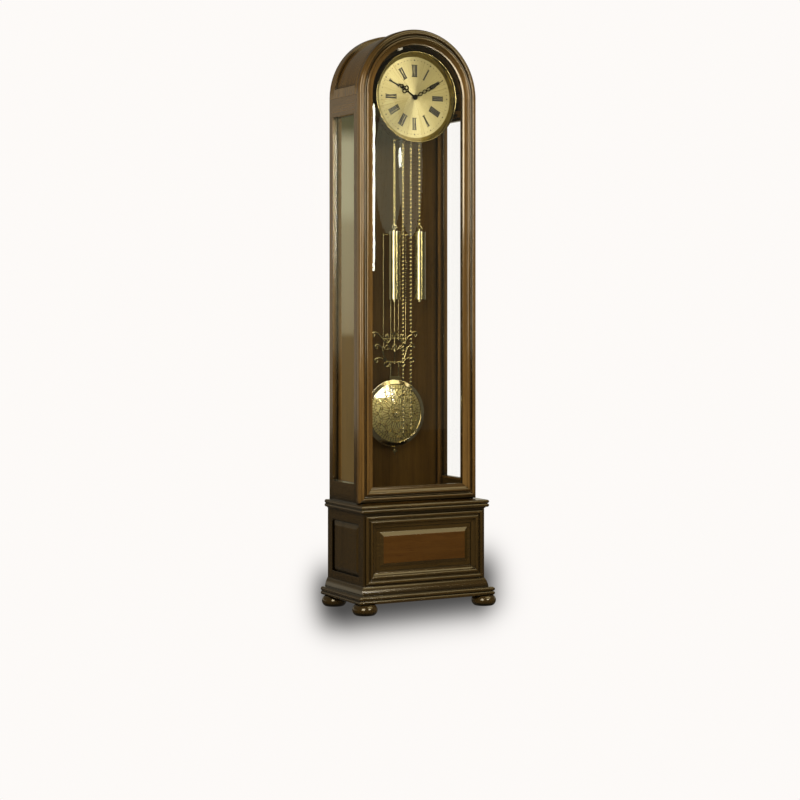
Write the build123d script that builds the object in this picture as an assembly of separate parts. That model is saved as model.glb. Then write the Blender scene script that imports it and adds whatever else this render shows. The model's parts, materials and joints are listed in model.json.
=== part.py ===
from build123d import *
import math
import os

# Long-case clock: panelled base on bun feet, glazed trunk with a round top, arched glazed door,
# dial, weight-driven chain movement and lyre pendulum. Millimetres, +Z up, the door faces -Y.
# The origin is on the floor, below the middle of the four feet.

# Overall size, over the feet and to the top of the arch
overall_width = 520.0
overall_depth = 300.0
overall_height = 1880.0

# Bun feet
foot_radius = 40.5
foot_height = 33.0
foot_flat_radius = 31.0

# Base: half width, front face, top and thickness of its boards and frames
base_half_width = 223.0
base_front = -107.0
base_top = 345.0
board = 18.0
frame = 20.0
back_board = 8.0

# Plinth moulding below the base and crown moulding at its top: height and projection
plinth_height = 55.0
plinth_projection = 26.0
plinth_bead = 13.0
plinth_land = 10.0
plinth_step = 3.0
plinth_fillet = 2.0
crown_height = 27.0
crown_projection = 12.0
crown_fillet = 3.0
bead_fullness = 0.45

# Bolection moulding round the front panel: margins to the base's edges, beads, groove and cove
bolection_side = 7.0
bolection_low = 4.0
bolection_high = 6.0
bolection_bead = 12.0
bolection_groove = 4.0
bolection_cove = 12.0
bolection_rise = 7.0
bolection_second_rise = 5.0
bolection_groove_rise = 1.5
bolection_edge = 2.0
front_reveal = 14.0
front_bevel = 13.0

# Frames of the base's sides
side_rear_stile = 32.0
side_front_stile = 34.0
side_low_rail = 26.0
side_top_rail = 34.0
side_bevel = 18.0
panel_sink = 8.0
field_sink = 1.0

# Trunk and hood
case_half_width = 217.0
case_front = -45.5
glass = 3.0
glass_setback = 16.0
glass_stop = 3.0
rabbet = 7.0
window_front_stile = 17.5
window_rear_stile = 24.0
window_low_rail = 63.0
window_top_rail = 60.0
arch_seat_drop = 3.0
arch_rail = 30.0
rear_rim = 34.0
front_rim = 12.5
roof_recess = 8.0
roof = 8.0
back_panel_sheet = 8.0
back_panel_inset = 4.0
post_width = 13.0
post_depth = 10.0

# Door: moulded section from the outer edge inwards, thickness and gaps
door_shoulder = 8.0
door_bead = 9.0
door_groove = 8.0
door_cove = 16.0
door_thickness = 24.0
door_bead_rise = 3.0
door_shoulder_sag = 2.4
door_groove_depth = 4.5
door_fillet = 1.0
door_fillet_drop = 1.5
door_cove_sag = 1.6
door_side = 13.0
door_lip_front = 15.0
door_lip_back = 13.0
door_rabbet = 8.0
door_gap = 1.5
door_floor_gap = 2.5
hinge_length = 70.0
hinge_low = 520.0
hinge_high = 1500.0
hinge_leaf_width = 18.0
knuckle_radius = 3.2
hinge_pin_radius = 1.2
leaf_play = 0.2

# Magnetic catch on the front rim of the arch: half widths, drops below the rim, angle from the top
catch_half = 14.0
catch_flange_half = 22.0
catch_drop = 16.0
catch_flange = 4.0
catch_play = 0.2
catch_angle = -20.0
catch_plate_sheet = 1.2

# Dial and bezel
dial_drop = 1.0
dial_front = -37.0
dial_sheet = 1.5
bezel_clearance = 18.0
bezel_width = 17.0
bezel_front = -54.5
bezel_back = -15.0
bezel_wall = 2.5
bezel_rim = 4.0
bezel_rabbet = 5.0
bezel_lip = 1.0
bezel_edge = 1.5
bezel_shoulder = 3.0
minute_hand_gap = 13.0
hour_hand_gap = 57.0
minute_hand_angle = 60.0
hour_hand_angle = 305.0
hand_sheet = 0.8
minute_hand_rise = 6.5
hour_hand_rise = 3.6
hand_nut = 2.0

# Seat of the movement
cleat = 10.0
seat = 12.0
cleat_width = 20.0
seat_front = -14.0
seat_rear = 88.0
chain_hole = 7.0

# Movement plates
plate = 2.5
plate_front = -9.0
plate_spacing = 68.5
plate_half_width = 62.0
plate_height = 144.0
pillar_radius = 4.0
pillar_inset = 8.0
arbor = 1.5
pivot_play = 0.05
dial_foot_radius = 2.5

# Going train and motion work: arbor places from the centre of the dial, and tooth counts
chain_wheel_x = 30.75
chain_wheel_rise = 6.0
third_x = 10.0
third_rise = 30.0
escape_rise = 59.0
anchor_rise = 93.0
motion_offset = 24.0
motion_angle = 135.0
great_teeth = 52
centre_teeth = 64
third_teeth = 60
pinion_leaves = 8
escape_teeth = 30
escape_radius = 24.0
cannon_teeth = 12
minute_wheel_teeth = 36
minute_pinion_teeth = 10
hour_wheel_teeth = 40
wheel_sheet = 2.5
great_set = 6.0
centre_set = 36.0
third_step = 12.0
escape_step = 10.0
pinion_reach = 2.0
hub_wall = 2.5
tube_wall = 1.2
hour_tube = 5.0
cannon_gap = 1.0
cannon_length = 4.5
motion_stud_length = 11.0

# Escape teeth, anchor and crutch
escape_tooth = 4.5
pallet_gap = 2.2
pallet_width = 3.0
pallet_degrees = 47.0
anchor_crest = 5.0
anchor_belly = 4.0
crutch_gap = 5.0
crutch_length = 68.0
crutch_sheet = 2.0
crutch_half = 2.5
crutch_foot_half = 7.0
crutch_eye = 4.5
prong_radius = 1.2

# Chains: plane, radius on the chain wheel and size of the links
chain_y = 15.0
chain_radius = 16.25
links_round = 16
link_width = 5.0
link_sheet = 1.8
link_gap = 0.1
chain_flange = 2.0
chain_ring_radius = 7.0
chain_ring_wire = 2.0
left_free_end = 557.0
right_free_end = 569.0

# Weights
weight_radius = 20.25
weight_low = 1003.0
weight_high = 1226.0
weight_cap = 4.0
weight_hook_top = 1250.0
weight_cap_lip = 0.8
weight_boss = 6.0
weight_boss_height = 4.0
weight_eye = 9.0
weight_eye_wire = 2.8
weight_nut = 5.0
weight_nut_height = 8.0

# Pendulum
pendulum_y = 101.0
leader_width = 6.0
leader_sheet = 2.4
lyre_top = 1218.0
lyre_bar_high = 873.0
lyre_bar_middle = 838.0
lyre_bar_low = 793.0
lyre_rod_radius = 1.8
lyre_outer_rod = 42.0
lyre_inner_rod = 14.5
lyre_sheet = 4.0
bob_radius = 112.0
bob_z = 625.0
bob_rim = 2.5
bob_thickness = 34.0
bob_border = 14.0
rating_nut_radius = 9.0
rating_nut_z = 500.0
bar_half = 4.0
lyre_stroke = 4.0
saddle_height = 11.0
screw_radius = 2.0
screw_end = 10.0
nut_half = 4.0
spring_half = 5.0
spring_strip = 0.4
leader_head = 7.0

# Gong and hammer, with heights from the centre of the dial
gong_x = 32.0
gong_near = 92.0
gong_far = 104.0
gong_rod_radius = 2.5
gong_long = 186.0
gong_short = 164.0
gong_rise = 130.0
gong_block_height = 22.0
gong_block_half = 14.0
gong_block_lip = 8.0
hammer_x = 57.0
hammer_rise = 79.0
hammer_head_rise = 114.0
hammer_head_radius = 4.0
hammer_head_length = 14.0
hammer_gap = 0.5

# Clearance between pieces that only sit side by side
play = 0.3

# Places that follow from the sizes
rear = overall_depth / 2
plinth_top = foot_height + plinth_height
crown_low = base_top - crown_height
spring_z = overall_height - case_half_width
side_top = spring_z - arch_seat_drop
case_wall = glass_setback + glass + glass_stop
case_inner = case_half_width - case_wall
door_back = case_front - door_gap
door_front = door_back - door_thickness
door_width = door_shoulder + 2 * door_bead + door_groove + door_cove
door_bottom = base_top + door_floor_gap
dial_z = spring_z - dial_drop
bezel_radius = case_half_width - door_width - bezel_clearance
dial_radius = bezel_radius - bezel_width
minute_hand_length = dial_radius - minute_hand_gap
hour_hand_length = dial_radius - hour_hand_gap
window_high = side_top - window_top_rail
cleat_low = window_high + rabbet + play
seat_low = cleat_low + cleat
seat_top = seat_low + seat
plate_back = plate_front + plate + plate_spacing
chain_wheel_z = dial_z + chain_wheel_rise
third_z = dial_z + third_rise
escape_z = dial_z + escape_rise
anchor_z = dial_z + anchor_rise
gong_block_z = dial_z + gong_rise
hammer_z = dial_z + hammer_rise
hammer_head_z = dial_z + hammer_head_rise
back_face = rear - back_panel_inset - back_panel_sheet
link_pitch = 2 * math.pi * chain_radius / links_round


def outline(start, *steps):
    """Closed face from a start point: a step is a point for a line, or two points for an arc."""
    edges = []
    here = start
    for step in steps:
        if isinstance(step[0], tuple):
            edges.append(ThreePointArc(here, step[0], step[1]))
            here = step[1]
        else:
            edges.append(Line(here, step))
            here = step
    if here != start:
        edges.append(Line(here, start))
    return make_face(edges)


def block(x0, x1, y0, y1, z0, z1):
    """Box between two corners."""
    middle = Pos((x0 + x1) / 2, (y0 + y1) / 2, (z0 + z1) / 2)
    return middle * Box(abs(x1 - x0), abs(y1 - y0), abs(z1 - z0))


def flat(face, near, far):
    """Face drawn in X and Z, made solid from y = near to y = far."""
    return extrude(Plane.XZ.offset(-far) * face, amount=far - near)


def upright(face, low, high):
    """Face drawn in X and Y, made solid from z = low to z = high."""
    return extrude(Plane.XY.offset(low) * face, amount=high - low)


def across(face, low, high):
    """Face drawn in Y and Z, made solid from x = low to x = high."""
    return extrude(Plane.YZ.offset(low) * face, amount=high - low)


def rectangle(x0, x1, z0, z1):
    """Rectangle between two corners."""
    return Pos((x0 + x1) / 2, (z0 + z1) / 2) * Rectangle(x1 - x0, z1 - z0)


def rod(radius, x, z, near, far):
    """Round bar along Y."""
    return flat(Pos(x, z) * Circle(radius), near, far)


def post(radius, x, y, low, high):
    """Round bar along Z."""
    return upright(Pos(x, y) * Circle(radius), low, high)


def arch_face(half_width, low):
    """Rectangle with a semicircular top about the middle of the arch."""
    top = spring_z + half_width
    return outline((-half_width, low), (half_width, low), (half_width, spring_z),
                   ((0, top), (-half_width, spring_z)))


def mirrored(shape):
    """The same shape on the other side of the clock."""
    return mirror(shape, about=Plane.YZ)


def write(name, *solids):
    """Write one named piece, or a set of like pieces, as a STEP file."""
    shape = solids[0] if len(solids) == 1 else Compound(children=list(solids))
    export_step(shape, os.path.join("parts", name + ".step"))


def base_runs(profile, height):
    """Front, left and right length of a moulding on the base, mitred at the front corners."""
    reach = 2 * plinth_projection
    wide = base_half_width
    front_plane = Plane(origin=(0, base_front, 0), x_dir=(0, -1, 0), z_dir=(-1, 0, 0))
    front = extrude(front_plane * profile, amount=wide + reach, both=True)
    front_mitre = outline((-wide, base_front), (wide, base_front), (wide + reach, base_front - reach),
                          (-wide - reach, base_front - reach))
    front = front & upright(front_mitre, 0, height)
    side_plane = Plane(origin=(wide, rear, 0), x_dir=(1, 0, 0), z_dir=(0, -1, 0))
    side = extrude(side_plane * profile, amount=rear - base_front + reach)
    side_mitre = outline((wide, base_front), (wide + reach, base_front - reach), (wide + reach, rear),
                         (wide, rear))
    right = side & upright(side_mitre, 0, height)
    return front, mirrored(right), right


def gear(teeth, module, x, z, phase, slim, add, dig):
    """Face of a toothed wheel. slim narrows the teeth for play, add and dig are tip and root in modules."""
    pitch = 2 * math.pi / teeth
    radius = module * teeth / 2
    tip = radius + add * module
    root = radius - dig * module
    points = []
    for tooth in range(teeth):
        middle = phase + tooth * pitch
        for share, reach in ((-0.32, root), (-0.11, tip), (0.11, tip), (0.32, root)):
            angle = middle + share * slim * pitch
            points.append((x + reach * math.cos(angle), z + reach * math.sin(angle)))
    return make_face(Polyline(*points, close=True))


def mesh_phase(x, z, teeth, phase, other_x, other_z, other_teeth):
    """Angle of a tooth on the second wheel that puts it in a gap of the first."""
    towards = math.atan2(other_z - z, other_x - x)
    pitch = 2 * math.pi / teeth
    part = ((towards - phase) / pitch) % 1
    return towards + math.pi - (2 * math.pi / other_teeth) * (0.5 - part)


os.makedirs("parts", exist_ok=True)

# Bun feet
foot_x = overall_width / 2 - foot_radius
foot_y = overall_depth / 2 - foot_radius
foot_section = outline((0, 0), (foot_flat_radius, 0),
                       ((foot_radius, foot_height / 2), (foot_flat_radius, foot_height)), (0, foot_height))
foot = revolve(Plane.XZ * foot_section, axis=Axis.Z)
write("bun_feet", *[Pos(x, y, 0) * foot for x in (-foot_x, foot_x) for y in (-foot_y, foot_y)])

# Plinth moulding: two beads below a land, then an ovolo up to the body
bead_root = plinth_projection - bead_fullness * plinth_bead
low_z = foot_height
bead_top = low_z + 2 * plinth_bead
plinth_section = outline(
    (0, low_z), (bead_root, low_z),
    ((plinth_projection, low_z + plinth_bead / 2), (bead_root, low_z + plinth_bead)),
    ((plinth_projection, low_z + 1.5 * plinth_bead), (bead_root, bead_top)),
    (plinth_land, bead_top), (plinth_land, bead_top + plinth_step),
    ((plinth_land * 0.66, (bead_top + plinth_top) / 2 + plinth_step),
     (plinth_fillet, plinth_top - plinth_fillet)),
    (plinth_fillet, plinth_top), (0, plinth_top))
write("plinth_moulding", *base_runs(plinth_section, base_top))

# Crown moulding: a small cove below two beads
crown_neck = crown_low + crown_fillet
crown_middle = (crown_neck + base_top) / 2
crown_root = crown_projection - bead_fullness * (base_top - crown_middle)
crown_section = outline(
    (0, crown_low), (crown_fillet, crown_low), (crown_fillet, crown_neck), (crown_root, crown_neck),
    ((crown_projection, (crown_neck + crown_middle) / 2), (crown_root, crown_middle)),
    ((crown_projection, (crown_middle + base_top) / 2), (crown_root, base_top)), (0, base_top))
write("base_crown", *base_runs(crown_section, base_top))

# Boards of the base: bottom and back between the frames, top over them
side_inner = base_half_width - frame
front_inner = base_front + frame
frame_top = base_top - board
back_near = rear - back_panel_inset - back_board
bottom_board = block(-side_inner, side_inner, front_inner, back_near, foot_height, foot_height + board)
rear_board = block(-side_inner, side_inner, back_near, back_near + back_board, foot_height, frame_top)
top_board = block(-base_half_width, base_half_width, base_front, rear, frame_top, base_top)
write("base_boards", bottom_board, rear_board, top_board)

# Front frame of the base with the opening for its raised panel
ring_half = base_half_width - bolection_side
ring_low = plinth_top + bolection_low
ring_high = crown_low - bolection_high
ring_width = 2 * bolection_bead + bolection_groove + bolection_cove
overlap = bolection_bead / 2 + bolection_cove
opening_half = ring_half - ring_width + overlap
opening_low = ring_low + ring_width - overlap
opening_high = ring_high - ring_width + overlap
front_face = rectangle(-base_half_width, base_half_width, foot_height, frame_top)
front_face -= rectangle(-opening_half, opening_half, opening_low, opening_high)
write("base_front_frame", flat(front_face, base_front, front_inner))

# Bolection moulding: four mitred lengths, two beads and a cove that falls to the panel
second = bolection_bead + bolection_groove
cove_fall = bolection_edge - panel_sink
ring_cove = second + bolection_bead
bolection_section = outline(
    (0, 0), ((bolection_bead / 2, bolection_rise), (bolection_bead, bolection_groove_rise)),
    (second, bolection_groove_rise),
    ((second + bolection_bead / 2, bolection_second_rise), (ring_cove, 0)),
    ((ring_cove + bolection_cove * 0.4, cove_fall * 0.75), (ring_width, cove_fall)),
    (ring_width, -panel_sink),
    (ring_width - overlap + play, -panel_sink), (ring_width - overlap + play, 0))
far_end = 2 * overall_width
low_run = extrude(Plane(origin=(0, base_front, ring_low), x_dir=(0, 0, 1), z_dir=(1, 0, 0))
                  * bolection_section, amount=far_end, both=True)
top_run = mirror(low_run, about=Plane.XY.offset((ring_low + ring_high) / 2))
right_run = extrude(Plane(origin=(ring_half, base_front, 0), x_dir=(-1, 0, 0), z_dir=(0, 0, 1))
                    * bolection_section, amount=far_end, both=True)
inner_half = ring_half - ring_width
inner_low = ring_low + ring_width
inner_high = ring_high - ring_width
low_mitre = outline((-ring_half, ring_low), (ring_half, ring_low),
                    (inner_half, inner_low), (-inner_half, inner_low))
top_mitre = outline((-ring_half, ring_high), (ring_half, ring_high),
                    (inner_half, inner_high), (-inner_half, inner_high))
right_mitre = outline((ring_half, ring_low), (ring_half, ring_high),
                      (inner_half, inner_high), (inner_half, inner_low))
moulding_front = base_front - bolection_rise
low_piece = low_run & flat(low_mitre, moulding_front, front_inner)
top_piece = top_run & flat(top_mitre, moulding_front, front_inner)
right_piece = right_run & flat(right_mitre, moulding_front, front_inner)
write("base_front_moulding", low_piece, top_piece, mirrored(right_piece), right_piece)

# Raised front panel: sunk margin, bevel and flat field
panel_half = opening_half - play
panel_face = rectangle(-panel_half, panel_half, opening_low + play, opening_high - play)
margin_y = base_front + panel_sink
field_y = base_front + field_sink
bevel_half = inner_half - front_reveal
bevel_low = inner_low + front_reveal
bevel_high = inner_high - front_reveal
bevel_foot = Plane.XZ.offset(-margin_y) * rectangle(-bevel_half, bevel_half, bevel_low, bevel_high)
bevel_top = Plane.XZ.offset(-field_y) * rectangle(-bevel_half + front_bevel, bevel_half - front_bevel,
                                                  bevel_low + front_bevel, bevel_high - front_bevel)
front_panel = flat(panel_face, margin_y, front_inner) + loft([bevel_foot, bevel_top], ruled=True)
write("base_front_panel", front_panel)

# Side frames of the base and their raised panels
side_y0 = base_front + side_front_stile
side_y1 = rear - side_rear_stile
side_z0 = plinth_top + side_low_rail
side_z1 = crown_low - side_top_rail
side_face = rectangle(front_inner, rear, foot_height, frame_top)
side_face -= rectangle(side_y0, side_y1, side_z0, side_z1)
side_frame = across(side_face, side_inner, base_half_width)
write("base_side_frames", mirrored(side_frame), side_frame)
margin_x = base_half_width - panel_sink
field_x = base_half_width - field_sink
side_sheet = rectangle(side_y0 + play, side_y1 - play, side_z0 + play, side_z1 - play)
side_panel = across(side_sheet, side_inner, margin_x)
side_foot = Plane.YZ.offset(margin_x) * side_sheet
side_crest = Plane.YZ.offset(field_x) * rectangle(side_y0 + side_bevel, side_y1 - side_bevel,
                                                  side_z0 + side_bevel, side_z1 - side_bevel)
side_panel += loft([side_foot, side_crest], ruled=True)
write("base_side_panels", mirrored(side_panel), side_panel)

# Side frames of the trunk: window with a rabbet inside for the glass and its stop
window_y0 = case_front + window_front_stile
window_y1 = rear - window_rear_stile
window_low = base_top + window_low_rail
window = rectangle(window_y0, window_y1, window_low, window_high)
wide_window = rectangle(window_y0 - rabbet, window_y1 + rabbet, window_low - rabbet, window_high + rabbet)
glass_near = case_inner + glass_stop
side_case = across(rectangle(case_front, rear, base_top, side_top) - window, case_inner, case_half_width)
side_case -= across(wide_window, case_inner, glass_near + glass)
write("left_side_frame", mirrored(side_case))
write("right_side_frame", side_case)
glass_sheet = rectangle(window_y0 - rabbet + play, window_y1 + rabbet - play,
                        window_low - rabbet + play, window_high + rabbet - play)
side_glass = across(glass_sheet, glass_near, glass_near + glass)
write("side_glass", mirrored(side_glass), side_glass)
side_stop = across(glass_sheet - window, case_inner, glass_near)
write("side_glass_stops", mirrored(side_stop), side_stop)

# Back panel and the posts in the back corners
back_half = case_inner - play
write("back_panel", flat(arch_face(back_half, base_top), back_face, back_face + back_panel_sheet))
corner_post = block(case_inner - post_width, case_inner, back_face - post_depth, back_face,
                    base_top, side_top)
write("back_posts", mirrored(corner_post), corner_post)

# Arch: rear and front rims on the side frames, rails between them, bent roof panel set in
rim_face = arch_face(case_half_width, side_top) - arch_face(case_inner, side_top)
rear_arch = flat(rim_face, rear - rear_rim, rear)
front_arch = flat(rim_face, case_front, case_front + front_rim)
rail = block(case_inner, case_half_width, case_front + front_rim, rear - rear_rim,
             side_top, side_top + arch_rail)
write("arch_frame", rear_arch, front_arch, mirrored(rail), rail)
roof_outer = case_half_width - roof_recess
roof_face = Pos(0, spring_z) * (Circle(roof_outer) - Circle(roof_outer - roof))
roof_face &= rectangle(-overall_width, overall_width, side_top + arch_rail, 2 * overall_height)
write("roof_panel", flat(roof_face, case_front + front_rim, rear - rear_rim))

# Seat board on two cleats below the top rails of the side frames
seat_half = case_inner - play
seat_board = block(-seat_half, seat_half, seat_front, seat_rear, seat_low, seat_top)
chain_places = [side * (chain_wheel_x + step * chain_radius) for side in (-1, 1) for step in (-1, 1)]
for hole_x in chain_places:
    seat_board -= post(chain_hole, hole_x, chain_y, seat_low, seat_top)
write("seat_board", seat_board)
seat_cleat = block(case_inner - cleat_width, case_inner, seat_front, seat_rear, cleat_low, seat_low)
write("seat_cleats", mirrored(seat_cleat), seat_cleat)

# Door section: shoulder, bead, groove, bead and cove down to the glass, with a rabbet behind
first_bead = door_shoulder + door_bead
second_bead = first_bead + door_groove
cove_start = second_bead + door_bead
bead_foot = door_thickness - door_bead_rise
rabbet_side = door_width - door_rabbet
door_section = outline(
    (0, 0), (0, door_side),
    ((door_shoulder * 0.3, bead_foot - door_shoulder_sag), (door_shoulder, bead_foot)),
    ((door_shoulder + door_bead / 2, door_thickness), (first_bead, bead_foot)),
    ((first_bead + door_groove / 2, bead_foot - door_groove_depth), (second_bead, bead_foot)),
    ((second_bead + door_bead / 2, door_thickness), (cove_start, bead_foot)),
    (cove_start + door_fillet, bead_foot - door_fillet_drop),
    ((cove_start + door_cove * 0.45, door_lip_front + door_cove_sag), (door_width, door_lip_front)),
    (door_width, door_lip_back), (rabbet_side, door_lip_back), (rabbet_side, 0))
arch_plane = Plane(origin=(case_half_width, door_back, spring_z), x_dir=(-1, 0, 0), z_dir=(0, 0, 1))
arch_axis = Axis((0, 0, spring_z), (0, 1, 0))
door_arch = revolve(arch_plane * door_section, axis=arch_axis, revolution_arc=-180)
write("door_arch", door_arch)
stile = extrude(arch_plane * door_section, amount=-(spring_z - door_bottom))
stile_mitre = outline((case_half_width, door_bottom), (case_half_width, spring_z),
                      (case_half_width - door_width, spring_z),
                      (case_half_width - door_width, door_bottom + door_width))
stile = stile & flat(stile_mitre, door_front, door_back)
write("door_stiles", mirrored(stile), stile)
rail_plane = Plane(origin=(0, door_back, door_bottom), x_dir=(0, 0, 1), z_dir=(1, 0, 0))
door_rail = extrude(rail_plane * door_section, amount=case_half_width, both=True)
rail_mitre = outline((-case_half_width, door_bottom), (case_half_width, door_bottom),
                     (case_half_width - door_width, door_bottom + door_width),
                     (door_width - case_half_width, door_bottom + door_width))
write("door_rail", door_rail & flat(rail_mitre, door_front, door_back))
door_sheet_half = case_half_width - rabbet_side - play
door_sheet = arch_face(door_sheet_half, door_bottom + rabbet_side + play)
door_sheet_front = door_back - door_lip_back
write("door_glass", flat(door_sheet, door_sheet_front, door_sheet_front + glass))
door_light = arch_face(case_half_width - door_width, door_bottom + door_width)
write("door_glass_stop", flat(door_sheet - door_light, door_sheet_front + glass, door_back))

# Butt hinges on the right: the leaves lie between door and case, three knuckles on one pin
hinge_x = case_half_width + knuckle_radius + play
hinge_y = (door_back + case_front) / 2
leaf = (door_gap - leaf_play) / 2
third = hinge_length / 3
leaf_start = case_half_width - hinge_leaf_width
case_leaves = []
door_leaves = []
pins = []
for hinge_z in (hinge_low, hinge_high):
    low = hinge_z - hinge_length / 2
    high = hinge_z + hinge_length / 2
    bore = post(hinge_pin_radius + pivot_play, hinge_x, hinge_y, low, high)
    middle_gap = block(case_half_width, hinge_x + knuckle_radius, hinge_y - knuckle_radius,
                       hinge_y + knuckle_radius, low + third - leaf_play, high - third + leaf_play)
    middle_part = block(case_half_width, hinge_x + knuckle_radius, hinge_y - knuckle_radius,
                        hinge_y + knuckle_radius, low + third, high - third)
    barrel = post(knuckle_radius, hinge_x, hinge_y, low, high)
    case_leaf = block(leaf_start, hinge_x, case_front - leaf, case_front, low, high) + barrel
    case_leaves.append(case_leaf - middle_gap - bore)
    door_leaf = block(leaf_start, hinge_x, door_back, door_back + leaf, low, high)
    tongue = block(leaf_start, case_half_width, door_back, door_back + leaf, low, high)
    door_leaves.append((door_leaf + barrel) & (tongue + middle_part) - bore)
    pins.append(post(hinge_pin_radius, hinge_x, hinge_y, low, high))
write("hinge_case_leaves", *case_leaves, *pins)
write("hinge_door_leaves", *door_leaves)

# Magnetic catch under the front rim of the arch, and its plate on the back of the door
catch_turn = Location((0, 0, spring_z), (0, 1, 0), catch_angle)
catch_near = case_front + catch_play
catch_far = case_front + front_rim
catch_low = case_inner - catch_drop
catch_body = block(-catch_half, catch_half, catch_near, catch_far, catch_low, case_inner - catch_flange / 2)
catch_body += block(-catch_flange_half, catch_flange_half, catch_near + catch_flange / 2, catch_far,
                    case_inner - catch_flange, case_inner)
catch_body = catch_turn * catch_body
catch_body -= front_arch
write("door_catch", catch_body)
catch_plate = block(2 - catch_half, catch_half - 2, door_back, door_back + catch_plate_sheet,
                    catch_low + 1, case_inner - catch_flange - 1)
write("catch_plate", catch_turn * catch_plate)

# Bezel: sloped inner face, rolled rim and drum wall, with a rabbet for the dial
rim_inner = bezel_radius - bezel_rim
bezel_section = outline(
    (dial_radius, dial_front - bezel_lip), (rim_inner, bezel_front + bezel_edge),
    ((bezel_radius - bezel_rim / 2, bezel_front), (bezel_radius, bezel_front + bezel_shoulder)),
    (bezel_radius, bezel_back), (bezel_radius - bezel_wall, bezel_back),
    (bezel_radius - bezel_wall, dial_front + bezel_shoulder),
    (dial_radius + bezel_rabbet, dial_front + bezel_shoulder),
    (dial_radius + bezel_rabbet, dial_front), (dial_radius, dial_front))
dial_axis = Axis((0, 0, dial_z), (0, 1, 0))
write("bezel", revolve(Plane.XY.offset(dial_z) * bezel_section, axis=dial_axis))

# Dial plate with four feet that stand on the front plate of the movement
dial_back = dial_front + dial_sheet
dial_face = Pos(0, dial_z) * (Circle(dial_radius + bezel_rabbet - play) - Circle(hour_tube + arbor))
dial_plate = flat(dial_face, dial_front, dial_back)
plate_low = seat_top
plate_high = seat_top + plate_height
foot_inset = plate_half_width - 2 * pillar_inset
for foot_x_place in (-foot_inset, foot_inset):
    for foot_z_place in (plate_low + pillar_inset, plate_high - pillar_inset):
        dial_plate += rod(dial_foot_radius, foot_x_place, foot_z_place, dial_back, plate_front)
write("dial_plate", dial_plate)

# Movement plates with a pivot hole for every arbor, and four pillars between them
motion_x = motion_offset * math.cos(math.radians(motion_angle))
motion_z = dial_z + motion_offset * math.sin(math.radians(motion_angle))
arbor_places = [(-chain_wheel_x, chain_wheel_z), (chain_wheel_x, chain_wheel_z), (0, dial_z),
                (third_x, third_z), (0, escape_z), (0, anchor_z), (hammer_x, hammer_z)]
plate_face = rectangle(-plate_half_width, plate_half_width, plate_low, plate_high)
for hole_x, hole_z in arbor_places:
    plate_face -= Pos(hole_x, hole_z) * Circle(arbor + pivot_play)
plate_near = plate_front + plate
cannon_y = plate_front - cannon_gap
motion_stud = rod(arbor, motion_x, motion_z, cannon_y - motion_stud_length, plate_front)
front_plate = flat(plate_face, plate_front, plate_near) + motion_stud
write("movement_plates", front_plate, flat(plate_face, plate_back, plate_back + plate))
pillar_x = plate_half_width - pillar_inset
pillars = [rod(pillar_radius, side * pillar_x, height, plate_near, plate_back)
           for side in (-1, 1) for height in (plate_low + pillar_inset, plate_high - pillar_inset)]
write("plate_pillars", *pillars)
back_out = plate_back + plate

# Great wheel and chain wheels: the great wheel rides loose on the left chain wheel's arbor
great_span = math.hypot(chain_wheel_x, chain_wheel_rise)
great_module = 2 * great_span / (great_teeth + pinion_leaves)
great_y = plate_near + great_set
great_face = gear(great_teeth, great_module, -chain_wheel_x, chain_wheel_z, 0.0, 0.8, 0.9, 1.2)
hub = arbor + hub_wall
hub_sleeve = hub - 1.0
great_hole = Pos(-chain_wheel_x, chain_wheel_z) * Circle(hub_sleeve)
great_wheel = flat(great_face - great_hole, great_y, great_y + wheel_sheet)
for turn in range(4):
    angle = math.radians(45 + 90 * turn)
    reach = great_module * great_teeth * 0.29
    window_x = -chain_wheel_x + reach * math.cos(angle)
    window_z = chain_wheel_z + reach * math.sin(angle)
    great_wheel -= rod(reach * 0.42, window_x, window_z, great_y, great_y + wheel_sheet)
write("great_wheel", great_wheel)
chain_room = 2 * play
chain_edge = 0.8
groove = chain_radius - link_width / 2 - chain_room
groove_half = link_width / 2 + chain_room
flange = chain_radius - 0.5
wheel_half = groove_half + chain_flange
wheel_section = outline(
    (0, -wheel_half), (flange, -wheel_half), (flange, chain_edge - wheel_half), (groove, -groove_half),
    (groove, groove_half), (flange, wheel_half - chain_edge), (flange, wheel_half), (0, wheel_half))
chain_wheel = revolve(Plane.XY * wheel_section, axis=Axis.Y)
for side, name in ((-1, "left_chain_wheel"), (1, "right_chain_wheel")):
    wheel = Pos(side * chain_wheel_x, chain_y, chain_wheel_z) * chain_wheel
    wheel += rod(arbor, side * chain_wheel_x, chain_wheel_z, plate_front, back_out)
    wheel += rod(hub_sleeve - pivot_play, side * chain_wheel_x, chain_wheel_z,
                 great_y - pinion_reach, chain_y)
    write(name, wheel)

# Centre wheel: its pinion meshes with the great wheel, its arbor carries the minute hand
centre_phase = mesh_phase(-chain_wheel_x, chain_wheel_z, great_teeth, 0.0, 0, dial_z, pinion_leaves)
centre_pinion = gear(pinion_leaves, great_module, 0, dial_z, centre_phase, 0.62, 0.75, 1.25)
centre_module = 2 * math.hypot(third_x, third_rise) / (centre_teeth + pinion_leaves)
centre_y = plate_near + centre_set
centre_face = gear(centre_teeth, centre_module, 0, dial_z, 0.0, 0.8, 0.9, 1.2)
hand_y = dial_front - minute_hand_rise
centre_wheel = flat(centre_face, centre_y, centre_y + wheel_sheet)
centre_wheel += flat(centre_pinion, great_y - pinion_reach, great_y + wheel_sheet + pinion_reach)
centre_wheel += rod(arbor, 0, dial_z, hand_y - hand_nut, back_out)
write("centre_wheel", centre_wheel)

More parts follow.
